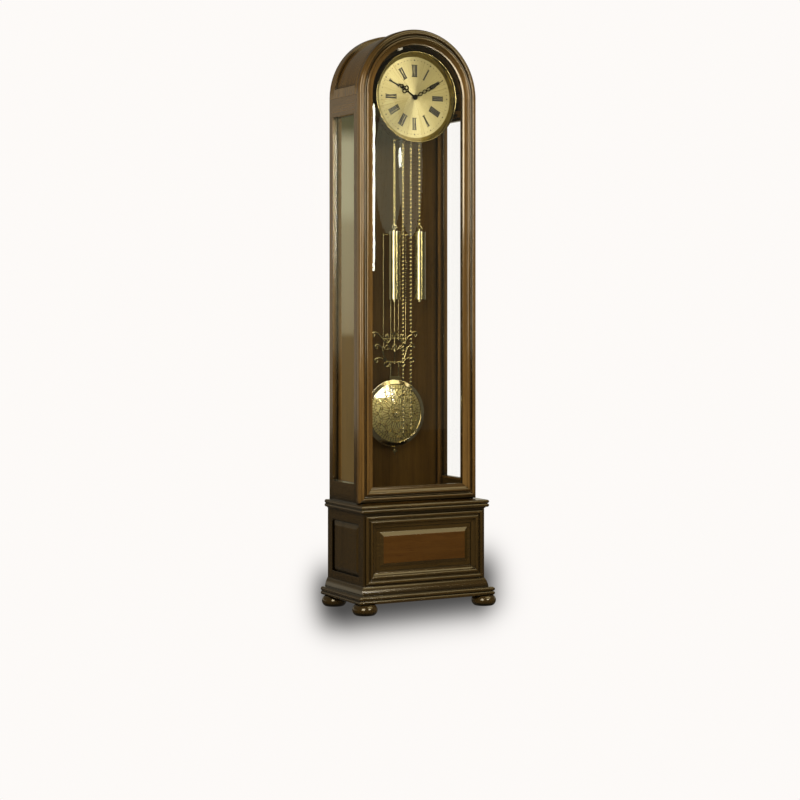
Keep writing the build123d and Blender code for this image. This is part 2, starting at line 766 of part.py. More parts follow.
# Third wheel
third_phase = mesh_phase(0, dial_z, centre_teeth, 0.0, third_x, third_z, pinion_leaves)
third_pinion = gear(pinion_leaves, centre_module, third_x, third_z, third_phase, 0.62, 0.75, 1.25)
third_module = 2 * math.hypot(third_x, escape_rise - third_rise) / (third_teeth + pinion_leaves)
third_y = centre_y + third_step
third_face = gear(third_teeth, third_module, third_x, third_z, 0.0, 0.8, 0.9, 1.2)
third_wheel = flat(third_face, third_y, third_y + wheel_sheet)
third_wheel += flat(third_pinion, centre_y - pinion_reach, centre_y + wheel_sheet + pinion_reach)
third_wheel += rod(arbor, third_x, third_z, plate_front, back_out)
write("third_wheel", third_wheel)

# Escape wheel with pointed, raked teeth
escape_phase = mesh_phase(third_x, third_z, third_teeth, 0.0, 0, escape_z, pinion_leaves)
escape_pinion = gear(pinion_leaves, third_module, 0, escape_z, escape_phase, 0.62, 0.75, 1.25)
escape_root = escape_radius - escape_tooth
escape_points = []
for tooth in range(escape_teeth):
    start = 2 * math.pi * tooth / escape_teeth
    for share, reach in ((0.0, escape_radius), (0.14, escape_radius),
                         (0.62, escape_root), (0.9, escape_root)):
        angle = start + share * 2 * math.pi / escape_teeth
        escape_points.append((reach * math.cos(angle), escape_z + reach * math.sin(angle)))
escape_y = centre_y - escape_step
escape_wheel = flat(make_face(Polyline(*escape_points, close=True)), escape_y, escape_y + wheel_sheet)
escape_wheel += flat(escape_pinion, third_y - pinion_reach, third_y + wheel_sheet + pinion_reach)
escape_wheel += rod(arbor, 0, escape_z, plate_front, back_out)
write("escape_wheel", escape_wheel)

# Anchor over the escape wheel, its arbor, and the crutch that reaches back round the pendulum
pallet_angle = math.radians(pallet_degrees)
pallet_reach = escape_radius + pallet_gap
pallet_x = pallet_reach * math.sin(pallet_angle)
pallet_z = escape_z + pallet_reach * math.cos(pallet_angle)
pallet_out = pallet_x + pallet_width
pallet_high = pallet_z + pallet_width / 3
arm_x = pallet_x * 0.62
arm_z = anchor_z - pallet_width
crest_z = anchor_z + anchor_crest
belly_x = pallet_x * 0.5
belly_z = anchor_z - anchor_belly
anchor_face = outline(
    (-pallet_x, pallet_z), (-pallet_out, pallet_high), ((-arm_x, arm_z), (0, crest_z)),
    ((arm_x, arm_z), (pallet_out, pallet_high)), (pallet_x, pallet_z),
    ((belly_x, belly_z - 2.0), (0, belly_z)), ((-belly_x, belly_z - 2.0), (-pallet_x, pallet_z)))
anchor = flat(anchor_face, escape_y - 0.5, escape_y + wheel_sheet + 0.5)
crutch_y = back_out + crutch_gap
crutch_low = anchor_z - crutch_length
anchor += rod(arbor, 0, anchor_z, plate_front, crutch_y + crutch_sheet + cannon_gap)
crutch_face = rectangle(-crutch_half, crutch_half, crutch_low, anchor_z)
crutch_face += Pos(0, anchor_z) * Circle(crutch_eye)
crutch_face += rectangle(-crutch_foot_half, crutch_foot_half, crutch_low - 4.0, crutch_low + 2.0)
crutch_face -= Pos(0, anchor_z) * Circle(arbor)
crutch = flat(crutch_face, crutch_y, crutch_y + crutch_sheet)
prong = leader_width / 2 + prong_radius + play
for side in (-1, 1):
    crutch += rod(prong_radius, side * prong, crutch_low - 1.0, crutch_y, pendulum_y + 4.0)
write("anchor", anchor, crutch)

# Motion work behind the dial: cannon pinion and minute hand, minute wheel, hour wheel and hour hand
cannon_outer = arbor + pivot_play + tube_wall
hour_inner = cannon_outer + pivot_play
cannon_module = 2 * motion_offset / (cannon_teeth + minute_wheel_teeth)
pinion_module = 2 * motion_offset / (minute_pinion_teeth + hour_wheel_teeth)
cannon_face = gear(cannon_teeth, cannon_module, 0, dial_z, 0.0, 0.72, 0.75, 1.2)
bore_face = Pos(0, dial_z) * Circle(arbor + pivot_play)
cannon_end = cannon_y - cannon_length
cannon = flat(cannon_face - bore_face, cannon_end, cannon_y)
cannon += flat(Pos(0, dial_z) * Circle(cannon_outer) - bore_face, hand_y, cannon_end)
write("cannon_pinion", cannon)
minute_phase = mesh_phase(0, dial_z, cannon_teeth, 0.0, motion_x, motion_z, minute_wheel_teeth)
minute_face = gear(minute_wheel_teeth, cannon_module, motion_x, motion_z, minute_phase, 0.8, 0.85, 1.2)
stud_bore = Pos(motion_x, motion_z) * Circle(arbor + pivot_play)
minute_pinion_face = gear(minute_pinion_teeth, pinion_module, motion_x, motion_z, 0.0, 0.68, 0.75, 1.2)
minute_back = cannon_y - cannon_gap
minute_front = minute_back - wheel_sheet
motion_front = cannon_y - motion_stud_length + cannon_gap
minute_wheel = flat(minute_face - stud_bore, minute_front, minute_back)
minute_wheel += flat(minute_pinion_face - stud_bore, motion_front, minute_front)
write("minute_wheel", minute_wheel)
hour_phase = mesh_phase(motion_x, motion_z, minute_pinion_teeth, 0.0, 0, dial_z, hour_wheel_teeth)
hour_face = gear(hour_wheel_teeth, pinion_module, 0, dial_z, hour_phase, 0.8, 0.85, 1.2)
hour_bore = Pos(0, dial_z) * Circle(hour_inner)
hour_front = motion_front + cannon_gap
hour_hand_y = dial_front - hour_hand_rise
hour_wheel = flat(hour_face - hour_bore, hour_front, hour_front + wheel_sheet)
hour_wheel += flat(Pos(0, dial_z) * Circle(hour_tube) - hour_bore, hour_hand_y, hour_front)
write("hour_wheel", hour_wheel)


def hand_face(length, hub_radius, hole, thick):
    """Serpentine hand pointing up: hub, S curve, open loop and leaf tip."""
    bend = length * 0.055
    low = length * 0.18
    middle = length * 0.30
    high = length * 0.42
    loop = length * 0.075
    curve = [Line((0, hub_radius * 0.5), (0, low)),
             ThreePointArc((0, low), (bend, (low + middle) / 2), (0, middle)),
             ThreePointArc((0, middle), (-bend, (middle + high) / 2), (0, high))]
    face = Sketch() + trace(curve, line_width=thick)
    face += Circle(hub_radius)
    ring_z = high + loop - thick / 2
    face += Pos(0, ring_z) * (Circle(loop) - Circle(loop - thick * 0.9))
    start = ring_z + loop - thick / 2
    swell = length * 0.035
    face += outline((-thick * 0.4, start), ((-swell, start + (length - start) * 0.3), (0, length)),
                    ((swell, start + (length - start) * 0.3), (thick * 0.4, start)))
    return face - Circle(hole)


minute_turn = Location((0, 0, dial_z), (0, 1, 0), minute_hand_angle)
hour_turn = Location((0, 0, dial_z), (0, 1, 0), hour_hand_angle)
minute_hand = flat(hand_face(minute_hand_length, 7.0, cannon_outer, 3.4), hand_y, hand_y + hand_sheet)
hour_hand = flat(hand_face(hour_hand_length, 8.5, hour_tube, 3.8), hour_hand_y, hour_hand_y + hand_sheet)
write("hour_hand", hour_turn * hour_hand)
nut = rod(cannon_outer + 1.0, 0, dial_z, hand_y - hand_nut, hand_y)
nut -= rod(arbor + pivot_play, 0, dial_z, hand_y - hand_nut, hand_y)
write("minute_hand", minute_turn * minute_hand, nut)

# Suspension: cock on the back plate, spring strip, leader with hook
cock_low = anchor_z + 7.0
cock_high = cock_low + 12.0
strip = spring_strip / 2
slot = strip + 0.1
cock = block(-9, 9, back_out, pendulum_y + 6.0, cock_low, cock_high)
cock -= block(-spring_half - play, spring_half + play, pendulum_y - slot, pendulum_y + slot,
              cock_low, cock_high)
write("suspension_cock", cock)
leader_top = anchor_z - 9.0
write("suspension_spring",
      block(-spring_half, spring_half, pendulum_y - strip, pendulum_y + strip, leader_top, cock_high))
leader_face = rectangle(-leader_width / 2, leader_width / 2, lyre_top + bar_half, leader_top)
leader_face += rectangle(-leader_head, leader_head, leader_top - 12.0, leader_top)
write("pendulum_leader", flat(leader_face, pendulum_y - leader_sheet / 2, pendulum_y + leader_sheet / 2))

# Lyre: rods between the bars, and a flat frame with scrolls cut from sheet
sheet_near = pendulum_y - lyre_sheet / 2
sheet_far = pendulum_y + lyre_sheet / 2
rods = [post(lyre_rod_radius, x, pendulum_y, lyre_bar_high + bar_half, lyre_top - bar_half)
        for x in (-lyre_outer_rod, -lyre_inner_rod, 0, lyre_inner_rod, lyre_outer_rod)]
bob_top = bob_z + bob_radius
saddle_high = bob_top + saddle_height
rods += [post(lyre_rod_radius + 0.4, x, pendulum_y, saddle_high, lyre_bar_low - bar_half)
         for x in (-lyre_inner_rod, lyre_inner_rod)]
write("lyre_rods", *rods)
bar_reach = lyre_outer_rod + 6.0
top_bar = rectangle(-bar_reach, bar_reach, lyre_top - bar_half, lyre_top + bar_half)
lyre_x = lyre_outer_rod
scroll_x = lyre_x + 16.0
high = lyre_bar_high
middle = lyre_bar_middle
low = lyre_bar_low
curves = [
    ThreePointArc((8, low), (30, low + 8), (lyre_x + 4, middle)),
    ThreePointArc((lyre_x + 4, middle), (lyre_x + 14, high - 8), (scroll_x + 10, high + 6)),
    ThreePointArc((scroll_x + 10, high + 6), (scroll_x + 16, high + 16), (scroll_x + 6, high + 17)),
    ThreePointArc((lyre_x + 2, middle - 6), (scroll_x + 6, middle - 22), (scroll_x + 18, middle - 8)),
    ThreePointArc((scroll_x + 18, middle - 8), (scroll_x + 14, middle + 2), (scroll_x + 7, middle - 5)),
    ThreePointArc((lyre_inner_rod + 6, low), (32, low - 12), (lyre_x + 2, low - 4)),
    ThreePointArc((lyre_x + 2, low - 4), (lyre_x + 1, low + 6), (lyre_x - 7, low + 1)),
]
half_frame = Sketch() + trace(curves, line_width=lyre_stroke)
frame_face = half_frame + mirror(half_frame, about=Plane.YZ)
frame_face += rectangle(-bar_reach, bar_reach, high - bar_half, high + bar_half)
frame_face += rectangle(-bar_reach, bar_reach, middle - bar_half + 1, middle + bar_half - 1)
frame_face += rectangle(-lyre_inner_rod - 8, lyre_inner_rod + 8, low - bar_half, low + bar_half)
frame_face += rectangle(-lyre_stroke / 2, lyre_stroke / 2, low, high)
write("lyre_frame", flat(frame_face, sheet_near, sheet_far), flat(top_bar, sheet_near, sheet_far))

# Lens bob with a plain border, its saddle, and the rating nut on the threaded end
half_bob = bob_thickness / 2
border = bob_radius - bob_border
border_y = bob_rim + 3.5
dome_rise = half_bob - border_y
dome_radius = (border ** 2 + dome_rise ** 2) / (2 * dome_rise)
swell_y = half_bob - dome_radius + math.sqrt(dome_radius ** 2 - border ** 2 / 4)
bob_section = outline(
    (0, -half_bob), ((border / 2, -swell_y), (border, -border_y)), (border, -border_y - 1.5),
    (bob_radius - bob_rim, -bob_rim), ((bob_radius, 0), (bob_radius - bob_rim, bob_rim)), (border, border_y),
    ((border / 2, swell_y), (0, half_bob)))
bob = revolve(Plane.XY * bob_section, axis=Axis.Y)
write("pendulum_bob", Pos(0, pendulum_y, bob_z) * bob)
saddle = rectangle(-lyre_inner_rod - 6, lyre_inner_rod + 6, bob_top, saddle_high)
bob_saddle = flat(saddle - Pos(0, bob_z) * Circle(bob_radius + 0.05), pendulum_y - 4.0, pendulum_y + 4.0)
bob_low = bob_z - bob_radius
nut_low = rating_nut_z - nut_half
nut_high = rating_nut_z + nut_half
screw = post(screw_radius, 0, pendulum_y, nut_low - screw_end, bob_low - 0.1)
rating_nut = post(rating_nut_radius, 0, pendulum_y, nut_low, nut_high)
rating_nut -= post(screw_radius + pivot_play, 0, pendulum_y, nut_low, nut_high)
write("bob_fittings", bob_saddle, screw, rating_nut)

# Gong: block on the back panel, two rods, and the hammer with a head for each rod
gong_high = gong_block_z + gong_block_height
gong_block = block(gong_x - gong_block_half, gong_x + gong_block_half, gong_near - gong_block_lip, back_face,
                   gong_block_z, gong_high)
long_rod = post(gong_rod_radius, gong_x, gong_near, gong_block_z - gong_long, gong_block_z)
short_rod = post(gong_rod_radius, gong_x, gong_far, gong_block_z - gong_short, gong_block_z)
write("gong", gong_block, long_rod, short_rod)
head_x = gong_x + gong_rod_radius + hammer_gap
hammer = rod(arbor, hammer_x, hammer_z, plate_front, gong_far + 3.0)
for head_y in (gong_near, gong_far):
    arm = outline((hammer_x - 2.0, hammer_z - 3.0), (hammer_x + 2.5, hammer_z + 1.0),
                  (head_x + 9.0, hammer_head_z), (head_x + 5.0, hammer_head_z))
    hammer += flat(arm, head_y - 1.2, head_y + 1.2)
    head_face = Pos(head_y, hammer_head_z) * Circle(hammer_head_radius)
    hammer += across(head_face, head_x, head_x + hammer_head_length)
write("strike_hammer", hammer)

# Weights: barrel between two caps, hook on top, nut below
barrel_low = weight_low + weight_cap
barrel_high = weight_high - weight_cap
weight_x = chain_wheel_x + chain_radius
for side, name in ((-1, "left"), (1, "right")):
    x = side * weight_x
    barrel = post(weight_radius, x, chain_y, barrel_low, barrel_high)
    top_cap = post(weight_radius + weight_cap_lip, x, chain_y, barrel_high, weight_high)
    boss_top = weight_high + weight_boss_height
    top_cap += post(weight_boss, x, chain_y, weight_high, boss_top)
    eye_z = weight_hook_top - weight_eye
    eye_face = Pos(x, eye_z) * (Circle(weight_eye) - Circle(weight_eye - weight_eye_wire))
    eye_ring = flat(eye_face, chain_y - weight_eye_wire / 2, chain_y + weight_eye_wire / 2)
    stem_top = eye_z - weight_eye + weight_eye_wire - 0.4
    top_cap += post(2.0, x, chain_y, boss_top, stem_top) + eye_ring
    low_cap = post(weight_radius + weight_cap_lip, x, chain_y, weight_low, barrel_low)
    low_cap += post(weight_nut, x, chain_y, weight_low - weight_nut_height, weight_low)
    write(name + "_weight", barrel, top_cap, low_cap)

# Chains: links set edge-on and face-on by turns, up the weight side, over the wheel, down the free side
for side, name, free_end in ((-1, "left", left_free_end), (1, "right", right_free_end)):
    wheel_x = side * chain_wheel_x
    weight_side = chain_wheel_z - weight_hook_top - play
    free_side = chain_wheel_z - free_end
    weight_count = int(weight_side / link_pitch)
    free_count = int(free_side / link_pitch)
    links = []
    for number in range(-weight_count, links_round // 2 + free_count):
        turn = (number + 0.5) * 360.0 / links_round
        if number < 0:
            long = weight_side / weight_count
            place = Location((wheel_x + side * chain_radius, chain_y, chain_wheel_z + (number + 0.5) * long))
        elif number >= links_round // 2:
            long = free_side / free_count
            drop = (number - links_round // 2 + 0.5) * long
            place = Location((wheel_x - side * chain_radius, chain_y, chain_wheel_z - drop))
        else:
            long = 2 * (chain_radius - link_width / 2) * math.tan(math.pi / links_round)
            arc_x = wheel_x + side * chain_radius * math.cos(math.radians(turn))
            arc_z = chain_wheel_z + chain_radius * math.sin(math.radians(turn))
            place = Location((arc_x, chain_y, arc_z), (0, 1, 0), -side * turn)
        wide, deep = (link_width, link_sheet) if number % 2 else (link_sheet, link_width)
        links.append(place * Box(wide, deep, long - link_gap))
    write(name + "_chain", *links)
    ring_x = wheel_x - side * chain_radius
    ring_face = Circle(chain_ring_radius) - Circle(chain_ring_radius - chain_ring_wire)
    ring_face = Pos(ring_x, free_end - chain_ring_radius) * ring_face
    ring = flat(ring_face, chain_y - chain_ring_wire / 2, chain_y + chain_ring_wire / 2)
    write(name + "_chain_ring", Pos(0, 0, -play) * ring)
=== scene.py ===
import bmesh
import bpy
import json
import math
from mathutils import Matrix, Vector


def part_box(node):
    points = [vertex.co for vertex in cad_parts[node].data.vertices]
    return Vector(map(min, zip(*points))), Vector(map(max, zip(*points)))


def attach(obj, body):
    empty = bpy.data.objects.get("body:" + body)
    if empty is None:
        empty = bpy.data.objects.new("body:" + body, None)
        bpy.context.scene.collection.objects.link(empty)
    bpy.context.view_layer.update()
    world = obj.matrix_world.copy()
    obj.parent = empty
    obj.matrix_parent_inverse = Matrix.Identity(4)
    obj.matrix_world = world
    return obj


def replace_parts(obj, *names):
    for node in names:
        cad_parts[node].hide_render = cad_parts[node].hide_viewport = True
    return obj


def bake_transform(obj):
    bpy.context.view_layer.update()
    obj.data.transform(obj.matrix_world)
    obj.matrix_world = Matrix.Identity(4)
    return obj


# Long-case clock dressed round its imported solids. Metres, +Z up, the door faces -Y.

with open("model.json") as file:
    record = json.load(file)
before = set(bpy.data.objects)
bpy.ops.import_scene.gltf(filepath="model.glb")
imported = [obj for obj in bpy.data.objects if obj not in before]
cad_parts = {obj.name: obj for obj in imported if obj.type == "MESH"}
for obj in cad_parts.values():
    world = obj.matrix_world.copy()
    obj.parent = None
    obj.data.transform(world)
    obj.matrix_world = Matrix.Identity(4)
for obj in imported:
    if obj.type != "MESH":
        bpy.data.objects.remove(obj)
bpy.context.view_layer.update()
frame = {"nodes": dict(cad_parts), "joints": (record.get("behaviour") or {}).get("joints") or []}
nodes = frame["nodes"]
scene = bpy.context.scene
scene.view_settings.view_transform = "Standard"


def middle_of(node):
    """Middle of a solid's box."""
    low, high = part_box(node)
    return (low + high) / 2


# Places of the solids and joints
joint_places = {joint["name"]: joint["pos_m"] for joint in frame["joints"] if joint.get("pos_m")}
arch_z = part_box("door_arch")[0].z
dial_z = joint_places["minute_hand_turn"][2]
dial_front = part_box("dial_plate")[0].y
chain_wheel_x, chain_y, chain_wheel_z = joint_places["right_chain_wheel_turn"]
hook_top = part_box("left_weight")[1].z
pendulum_y = joint_places["pendulum_swing"][1]
bob_z = middle_of("pendulum_bob").z
base_panel_z = middle_of("base_front_panel").z

# Sizes shared with the solids
chain_radius = 0.01625
bob_border = 0.098
arch_mean_radius = 0.2
base_mitre_x = 0.223
base_mitre_y = -0.107

# Camera at the photograph's angle
camera_data = bpy.data.cameras.new("camera")
camera_data.sensor_width = 36.0
camera_data.lens = 84.1
camera_data.shift_y = -0.111
camera = bpy.data.objects.new("camera", camera_data)
camera.location = (-2.9359, -5.3855, 0.96406)
camera.rotation_euler = (math.radians(90), 0, math.radians(-28.32))
scene.collection.objects.link(camera)
scene.camera = camera


# Node helpers
def add(tree, kind, links=None, **settings):
    """New node; links maps its inputs to sockets or plain values."""
    made = tree.nodes.new(kind)
    for key, value in settings.items():
        setattr(made, key, value)
    for socket, source in (links or {}).items():
        if isinstance(source, bpy.types.NodeSocket):
            tree.links.new(source, made.inputs[socket])
        else:
            made.inputs[socket].default_value = source
    return made


def math_node(tree, operation, first, second=0.0, third=None):
    """Result of one Math node."""
    links = {0: first, 1: second}
    if third is not None:
        links[2] = third
    return add(tree, "ShaderNodeMath", links, operation=operation).outputs[0]


def ramp(tree, factor, *stops):
    """Colour ramp; a stop is a place and a colour."""
    made = add(tree, "ShaderNodeValToRGB", {"Fac": factor})
    elements = made.color_ramp.elements
    while len(elements) < len(stops):
        elements.new(0.5)
    for element, (place, colour) in zip(elements, stops):
        element.position = place
        element.color = (*colour, 1.0)
    return made.outputs["Color"]


def span(tree, value, low, high, out_low, out_high):
    """Value mapped from one range to another."""
    links = {"Value": value, "From Min": low, "From Max": high, "To Min": out_low, "To Max": out_high}
    return add(tree, "ShaderNodeMapRange", links).outputs["Result"]


def bare_material(name):
    """Material with only an output node; also gives its tree and the socket for its surface."""
    material = bpy.data.materials.new(name)
    material.use_nodes = True
    tree = material.node_tree
    tree.nodes.clear()
    return material, tree, add(tree, "ShaderNodeOutputMaterial").inputs["Surface"]


def material_with_shader(name, **sockets):
    """Material with one Principled shader and plain values on its sockets."""
    material, tree, surface = bare_material(name)
    shader = add(tree, "ShaderNodeBsdfPrincipled")
    for key, value in sockets.items():
        shader.inputs[key.replace("_", " ")].default_value = value
    tree.links.new(shader.outputs["BSDF"], surface)
    return material, tree, shader


def place(tree):
    """Place in the object's own frame, which is the row frame."""
    return add(tree, "ShaderNodeTexCoord").outputs["Object"]


def axes(tree):
    """X, Y and Z of the place."""
    return add(tree, "ShaderNodeSeparateXYZ", {"Vector": place(tree)}).outputs


def radius_about(tree, parts, middle_z):
    """Height above a middle and distance from it, in the plane of the front."""
    rise = math_node(tree, "SUBTRACT", parts["Z"], middle_z)
    square = math_node(tree, "MULTIPLY", rise, rise)
    return rise, math_node(tree, "SQRT", math_node(tree, "MULTIPLY_ADD", parts["X"], parts["X"], square))


def past_edges(tree, half, middle_z, half_z):
    """How far a place lies past the sides and past the top or bottom of an upright rectangle."""
    parts = axes(tree)
    offset = math_node(tree, "SUBTRACT", parts["Z"], middle_z)
    aside = math_node(tree, "SUBTRACT", math_node(tree, "ABSOLUTE", parts["X"]), half)
    upward = math_node(tree, "SUBTRACT", math_node(tree, "ABSOLUTE", offset), half_z)
    return aside, upward


def mix(tree, factor, first, second, kind="RGBA", blend_type="MIX"):
    """Two colours or two vectors mixed; the sockets of the Mix node go by number."""
    start, result = {"RGBA": (6, 2), "VECTOR": (4, 1)}[kind]
    made = add(tree, "ShaderNodeMix", data_type=kind, blend_type=blend_type)
    for socket, source in ((0, factor), (start, first), (start + 1, second)):
        if isinstance(source, bpy.types.NodeSocket):
            tree.links.new(source, made.inputs[socket])
        else:
            made.inputs[socket].default_value = (*source, 1.0)
    return made.outputs[result]


def scaled(tree, vector, factor):
    """Colour or vector times a value."""
    made = add(tree, "ShaderNodeVectorMath", {0: vector, "Scale": factor}, operation="SCALE")
    return made.outputs["Vector"]


def mix_shader(tree, factor, first, second):
    """Two shaders mixed."""
    made = add(tree, "ShaderNodeMixShader", {0: factor})
    tree.links.new(first, made.inputs[1])
    tree.links.new(second, made.inputs[2])
    return made.outputs["Shader"]


def bumped(tree, height, strength, distance, normal=None):
    """Normal roughened by a height."""
    links = {"Height": height, "Strength": strength, "Distance": distance}
    if normal:
        links["Normal"] = normal
    return add(tree, "ShaderNodeBump", links).outputs["Normal"]


def feed(tree, shader, **sources):
    """Link sources to the sockets of a shader."""
    for key, source in sources.items():
        tree.links.new(source, shader.inputs[key.replace("_", " ")])


def noise(tree, vector, scale, detail=4.0, roughness=0.55, distortion=0.0):
    """Noise value."""
    links = {"Vector": vector, "Scale": scale, "Detail": detail, "Roughness": roughness,
             "Distortion": distortion}
    return add(tree, "ShaderNodeTexNoise", links).outputs["Fac"]


# Wood: grain coordinates are squeezed along the run of the piece
GRAIN_SQUEEZE = 0.045


def straight_grain(tree, run, shift):
    """Place squeezed along one axis."""
    squeeze = [1.0, 1.0, 1.0]
    squeeze["xyz".index(run)] = GRAIN_SQUEEZE
    links = {"Vector": place(tree), "Location": shift, "Scale": squeeze}
    return add(tree, "ShaderNodeMapping", links).outputs["Vector"]


def arch_grain(tree, shift):
    """Radius, depth and arc length about the middle of the arch, squeezed along the arc."""
    parts = axes(tree)
    rise, radius = radius_about(tree, parts, arch_z)
    angle = math_node(tree, "ARCTAN2", rise, parts["X"])
    arc = math_node(tree, "MULTIPLY", angle, arch_mean_radius * GRAIN_SQUEEZE)
    joined = add(tree, "ShaderNodeCombineXYZ", {"X": radius, "Y": parts["Y"], "Z": arc}).outputs["Vector"]
    return add(tree, "ShaderNodeMapping", {"Vector": joined, "Location": shift}).outputs["Vector"]


def frame_grain(tree, shift, stile_run, rail_run, is_rail):
    """Stile grain and rail grain of a joined frame, chosen by a mask."""
    stile = straight_grain(tree, stile_run, shift)
    rail = straight_grain(tree, rail_run, [shift[1], shift[2], shift[0]])
    return mix(tree, is_rail, stile, rail, "VECTOR")


# Wood tones: dark, middle and light
# Walnut painted lighter and more olive for the hood, the door's arch and its stiles: painted light and
# sheen
LIT_WALNUT = ((0.053, 0.0255, 0.0056), (0.132, 0.0690, 0.0172), (0.220, 0.1240, 0.0355))
WALNUT = ((0.045, 0.0208, 0.0042), (0.113, 0.0560, 0.0128), (0.188, 0.1000, 0.0265))
# Walnut painted darker for the door's bottom rail: painted shade
RAIL_PAINTED_SHADE = ((0.024, 0.0112, 0.0022), (0.058, 0.0292, 0.0066), (0.095, 0.0512, 0.0136))
# Walnut painted darker for the base, its feet and the painted shade in other woods: painted shade, as
# less light reaches down towards the floor
BASE_PAINTED_SHADE = ((0.023, 0.0128, 0.0028), (0.041, 0.0230, 0.0052), (0.060, 0.0345, 0.0084))
PANEL = ((0.048, 0.0185, 0.0026), (0.072, 0.0290, 0.0044), (0.096, 0.0410, 0.0070))
BACK = ((0.028, 0.0130, 0.0022), (0.055, 0.0275, 0.0050), (0.082, 0.0440, 0.0090))


def outside_field(half, middle_z, half_z):
    """Painted shade on the bevel and margin round the field of a raised panel."""
    def mask(tree):
        aside, upward = past_edges(tree, half, middle_z, half_z)
        return span(tree, math_node(tree, "MAXIMUM", aside, upward), 0.0, 0.0015, 0.0, 1.0)
    return mask


def by_height(clear, deep):
    """Painted shade that deepens from one height to another."""
    return lambda tree: span(tree, axes(tree)["Z"], clear, deep, 0.0, 1.0)


def wood_ramp(tree, tone, tones):
    """Wood colour from a tone value."""
    return ramp(tree, tone, *zip((0.30, 0.52, 0.78), tones))


def wood(name, grain, tones, roughness=0.14, coat=0.5, specular=0.6, painted_shade=None):
    """Lacquered wood: figure, streaks and open pores along the grain; painted shade in the hollows, and
    painted shade in the base's darker tones where a mask is given.
    """
    material, tree, shader = material_with_shader(
        name, Coat_Weight=coat, Coat_Roughness=0.07, Coat_IOR=1.5, Specular_IOR_Level=specular,
        Specular_Tint=(1.0, 0.86, 0.55, 1.0))
    vector = grain(tree)
    figure = noise(tree, vector, 16.0, 5.0, 0.6, 1.2)
    streak = noise(tree, vector, 95.0, 4.0, 0.65, 0.4)
    pores = noise(tree, vector, 620.0, 2.0, 0.6)
    tone = math_node(tree, "MULTIPLY_ADD", streak, 0.45, math_node(tree, "MULTIPLY", figure, 0.6))
    colour = wood_ramp(tree, tone, tones)
    # Painted shade: where the mask says, the colour turns to the base's darker tones
    if painted_shade:
        colour = mix(tree, painted_shade(tree), colour, wood_ramp(tree, tone, BASE_PAINTED_SHADE))
    pore_mask = span(tree, pores, 0.56, 0.72, 0.0, 1.0)
    pore_share = math_node(tree, "MULTIPLY", pore_mask, 0.6)
    darker = mix(tree, pore_share, colour, (0.45, 0.40, 0.36), blend_type="MULTIPLY")
    # Painted shade: the colour darkens in hollows and creases, where shade falls
    hollow = add(tree, "ShaderNodeAmbientOcclusion", {"Distance": 0.016}, samples=8)
    painted_hollow_shade = span(tree, hollow.outputs["AO"], 0.48, 0.98, 0.05, 1.0)
    gloss = span(tree, figure, 0.3, 0.7, roughness - 0.03, roughness + 0.06)
    depth = math_node(tree, "MULTIPLY_ADD", pore_mask, -0.5, math_node(tree, "MULTIPLY", streak, 0.35))
    soft = add(tree, "ShaderNodeBevel", {"Radius": 0.0018}, samples=4).outputs["Normal"]
    feed(tree, shader, Base_Color=scaled(tree, darker, painted_hollow_shade), Roughness=gloss,
         Normal=bumped(tree, depth, 0.10, 0.0006, soft), Coat_Normal=soft)
    return material


def along(run, *shift):
    """Grain that runs straight along one axis."""
    return lambda tree: straight_grain(tree, run, shift)


def between(axis, low, high, *shift):
    """Grain of a frame in a plane: rails lie between two places on that axis, stiles outside them."""
    def grain(tree):
        value = axes(tree)[axis.upper()]
        above = math_node(tree, "GREATER_THAN", value, low)
        below = math_node(tree, "LESS_THAN", value, high)
        return frame_grain(tree, shift, "z", axis, math_node(tree, "MULTIPLY", above, below))
    return grain


def mitred(half, middle_z, half_z, *shift):
    """Grain of a mitred frame in the front: rails above and below, stiles left and right."""
    def grain(tree):
        aside, upward = past_edges(tree, half, middle_z, half_z)
        return frame_grain(tree, shift, "z", "x", math_node(tree, "GREATER_THAN", upward, aside))
    return grain


def base_run(*shift):
    """Grain of a moulding round the base: along X in front, along Y on the sides."""
    def grain(tree):
        parts = axes(tree)
        aside = math_node(tree, "SUBTRACT", math_node(tree, "ABSOLUTE", parts["X"]), base_mitre_x)
        forward = math_node(tree, "SUBTRACT", base_mitre_y, parts["Y"])
        return frame_grain(tree, shift, "y", "x", math_node(tree, "GREATER_THAN", forward, aside))
    return grain


def arched(*shift):
    """Grain that follows the arch."""
    return lambda tree: arch_grain(tree, shift)


# Metals
def metal(name, tones, roughness, spread=0.05, relief=0.02, coat=0.0):
    """Polished, lacquered or rolled metal with faint clouding and fine marks."""
    material, tree, shader = material_with_shader(
        name, Metallic=1.0, Coat_Weight=coat, Coat_Roughness=0.03, Coat_IOR=1.8)
    vector = place(tree)
    cloud = noise(tree, vector, 22.0, 3.0)
    fine = noise(tree, vector, 900.0, 2.0)
    colour = ramp(tree, cloud, (0.3, tones[0]), (0.7, tones[1]))
    mixed = math_node(tree, "MULTIPLY_ADD", fine, 0.4, math_node(tree, "MULTIPLY", cloud, 0.6))
    gloss = span(tree, mixed, 0.3, 0.7, roughness - spread, roughness + spread)
    feed(tree, shader, Base_Color=colour, Roughness=gloss, Normal=bumped(tree, fine, relief, 0.0002))
    return material


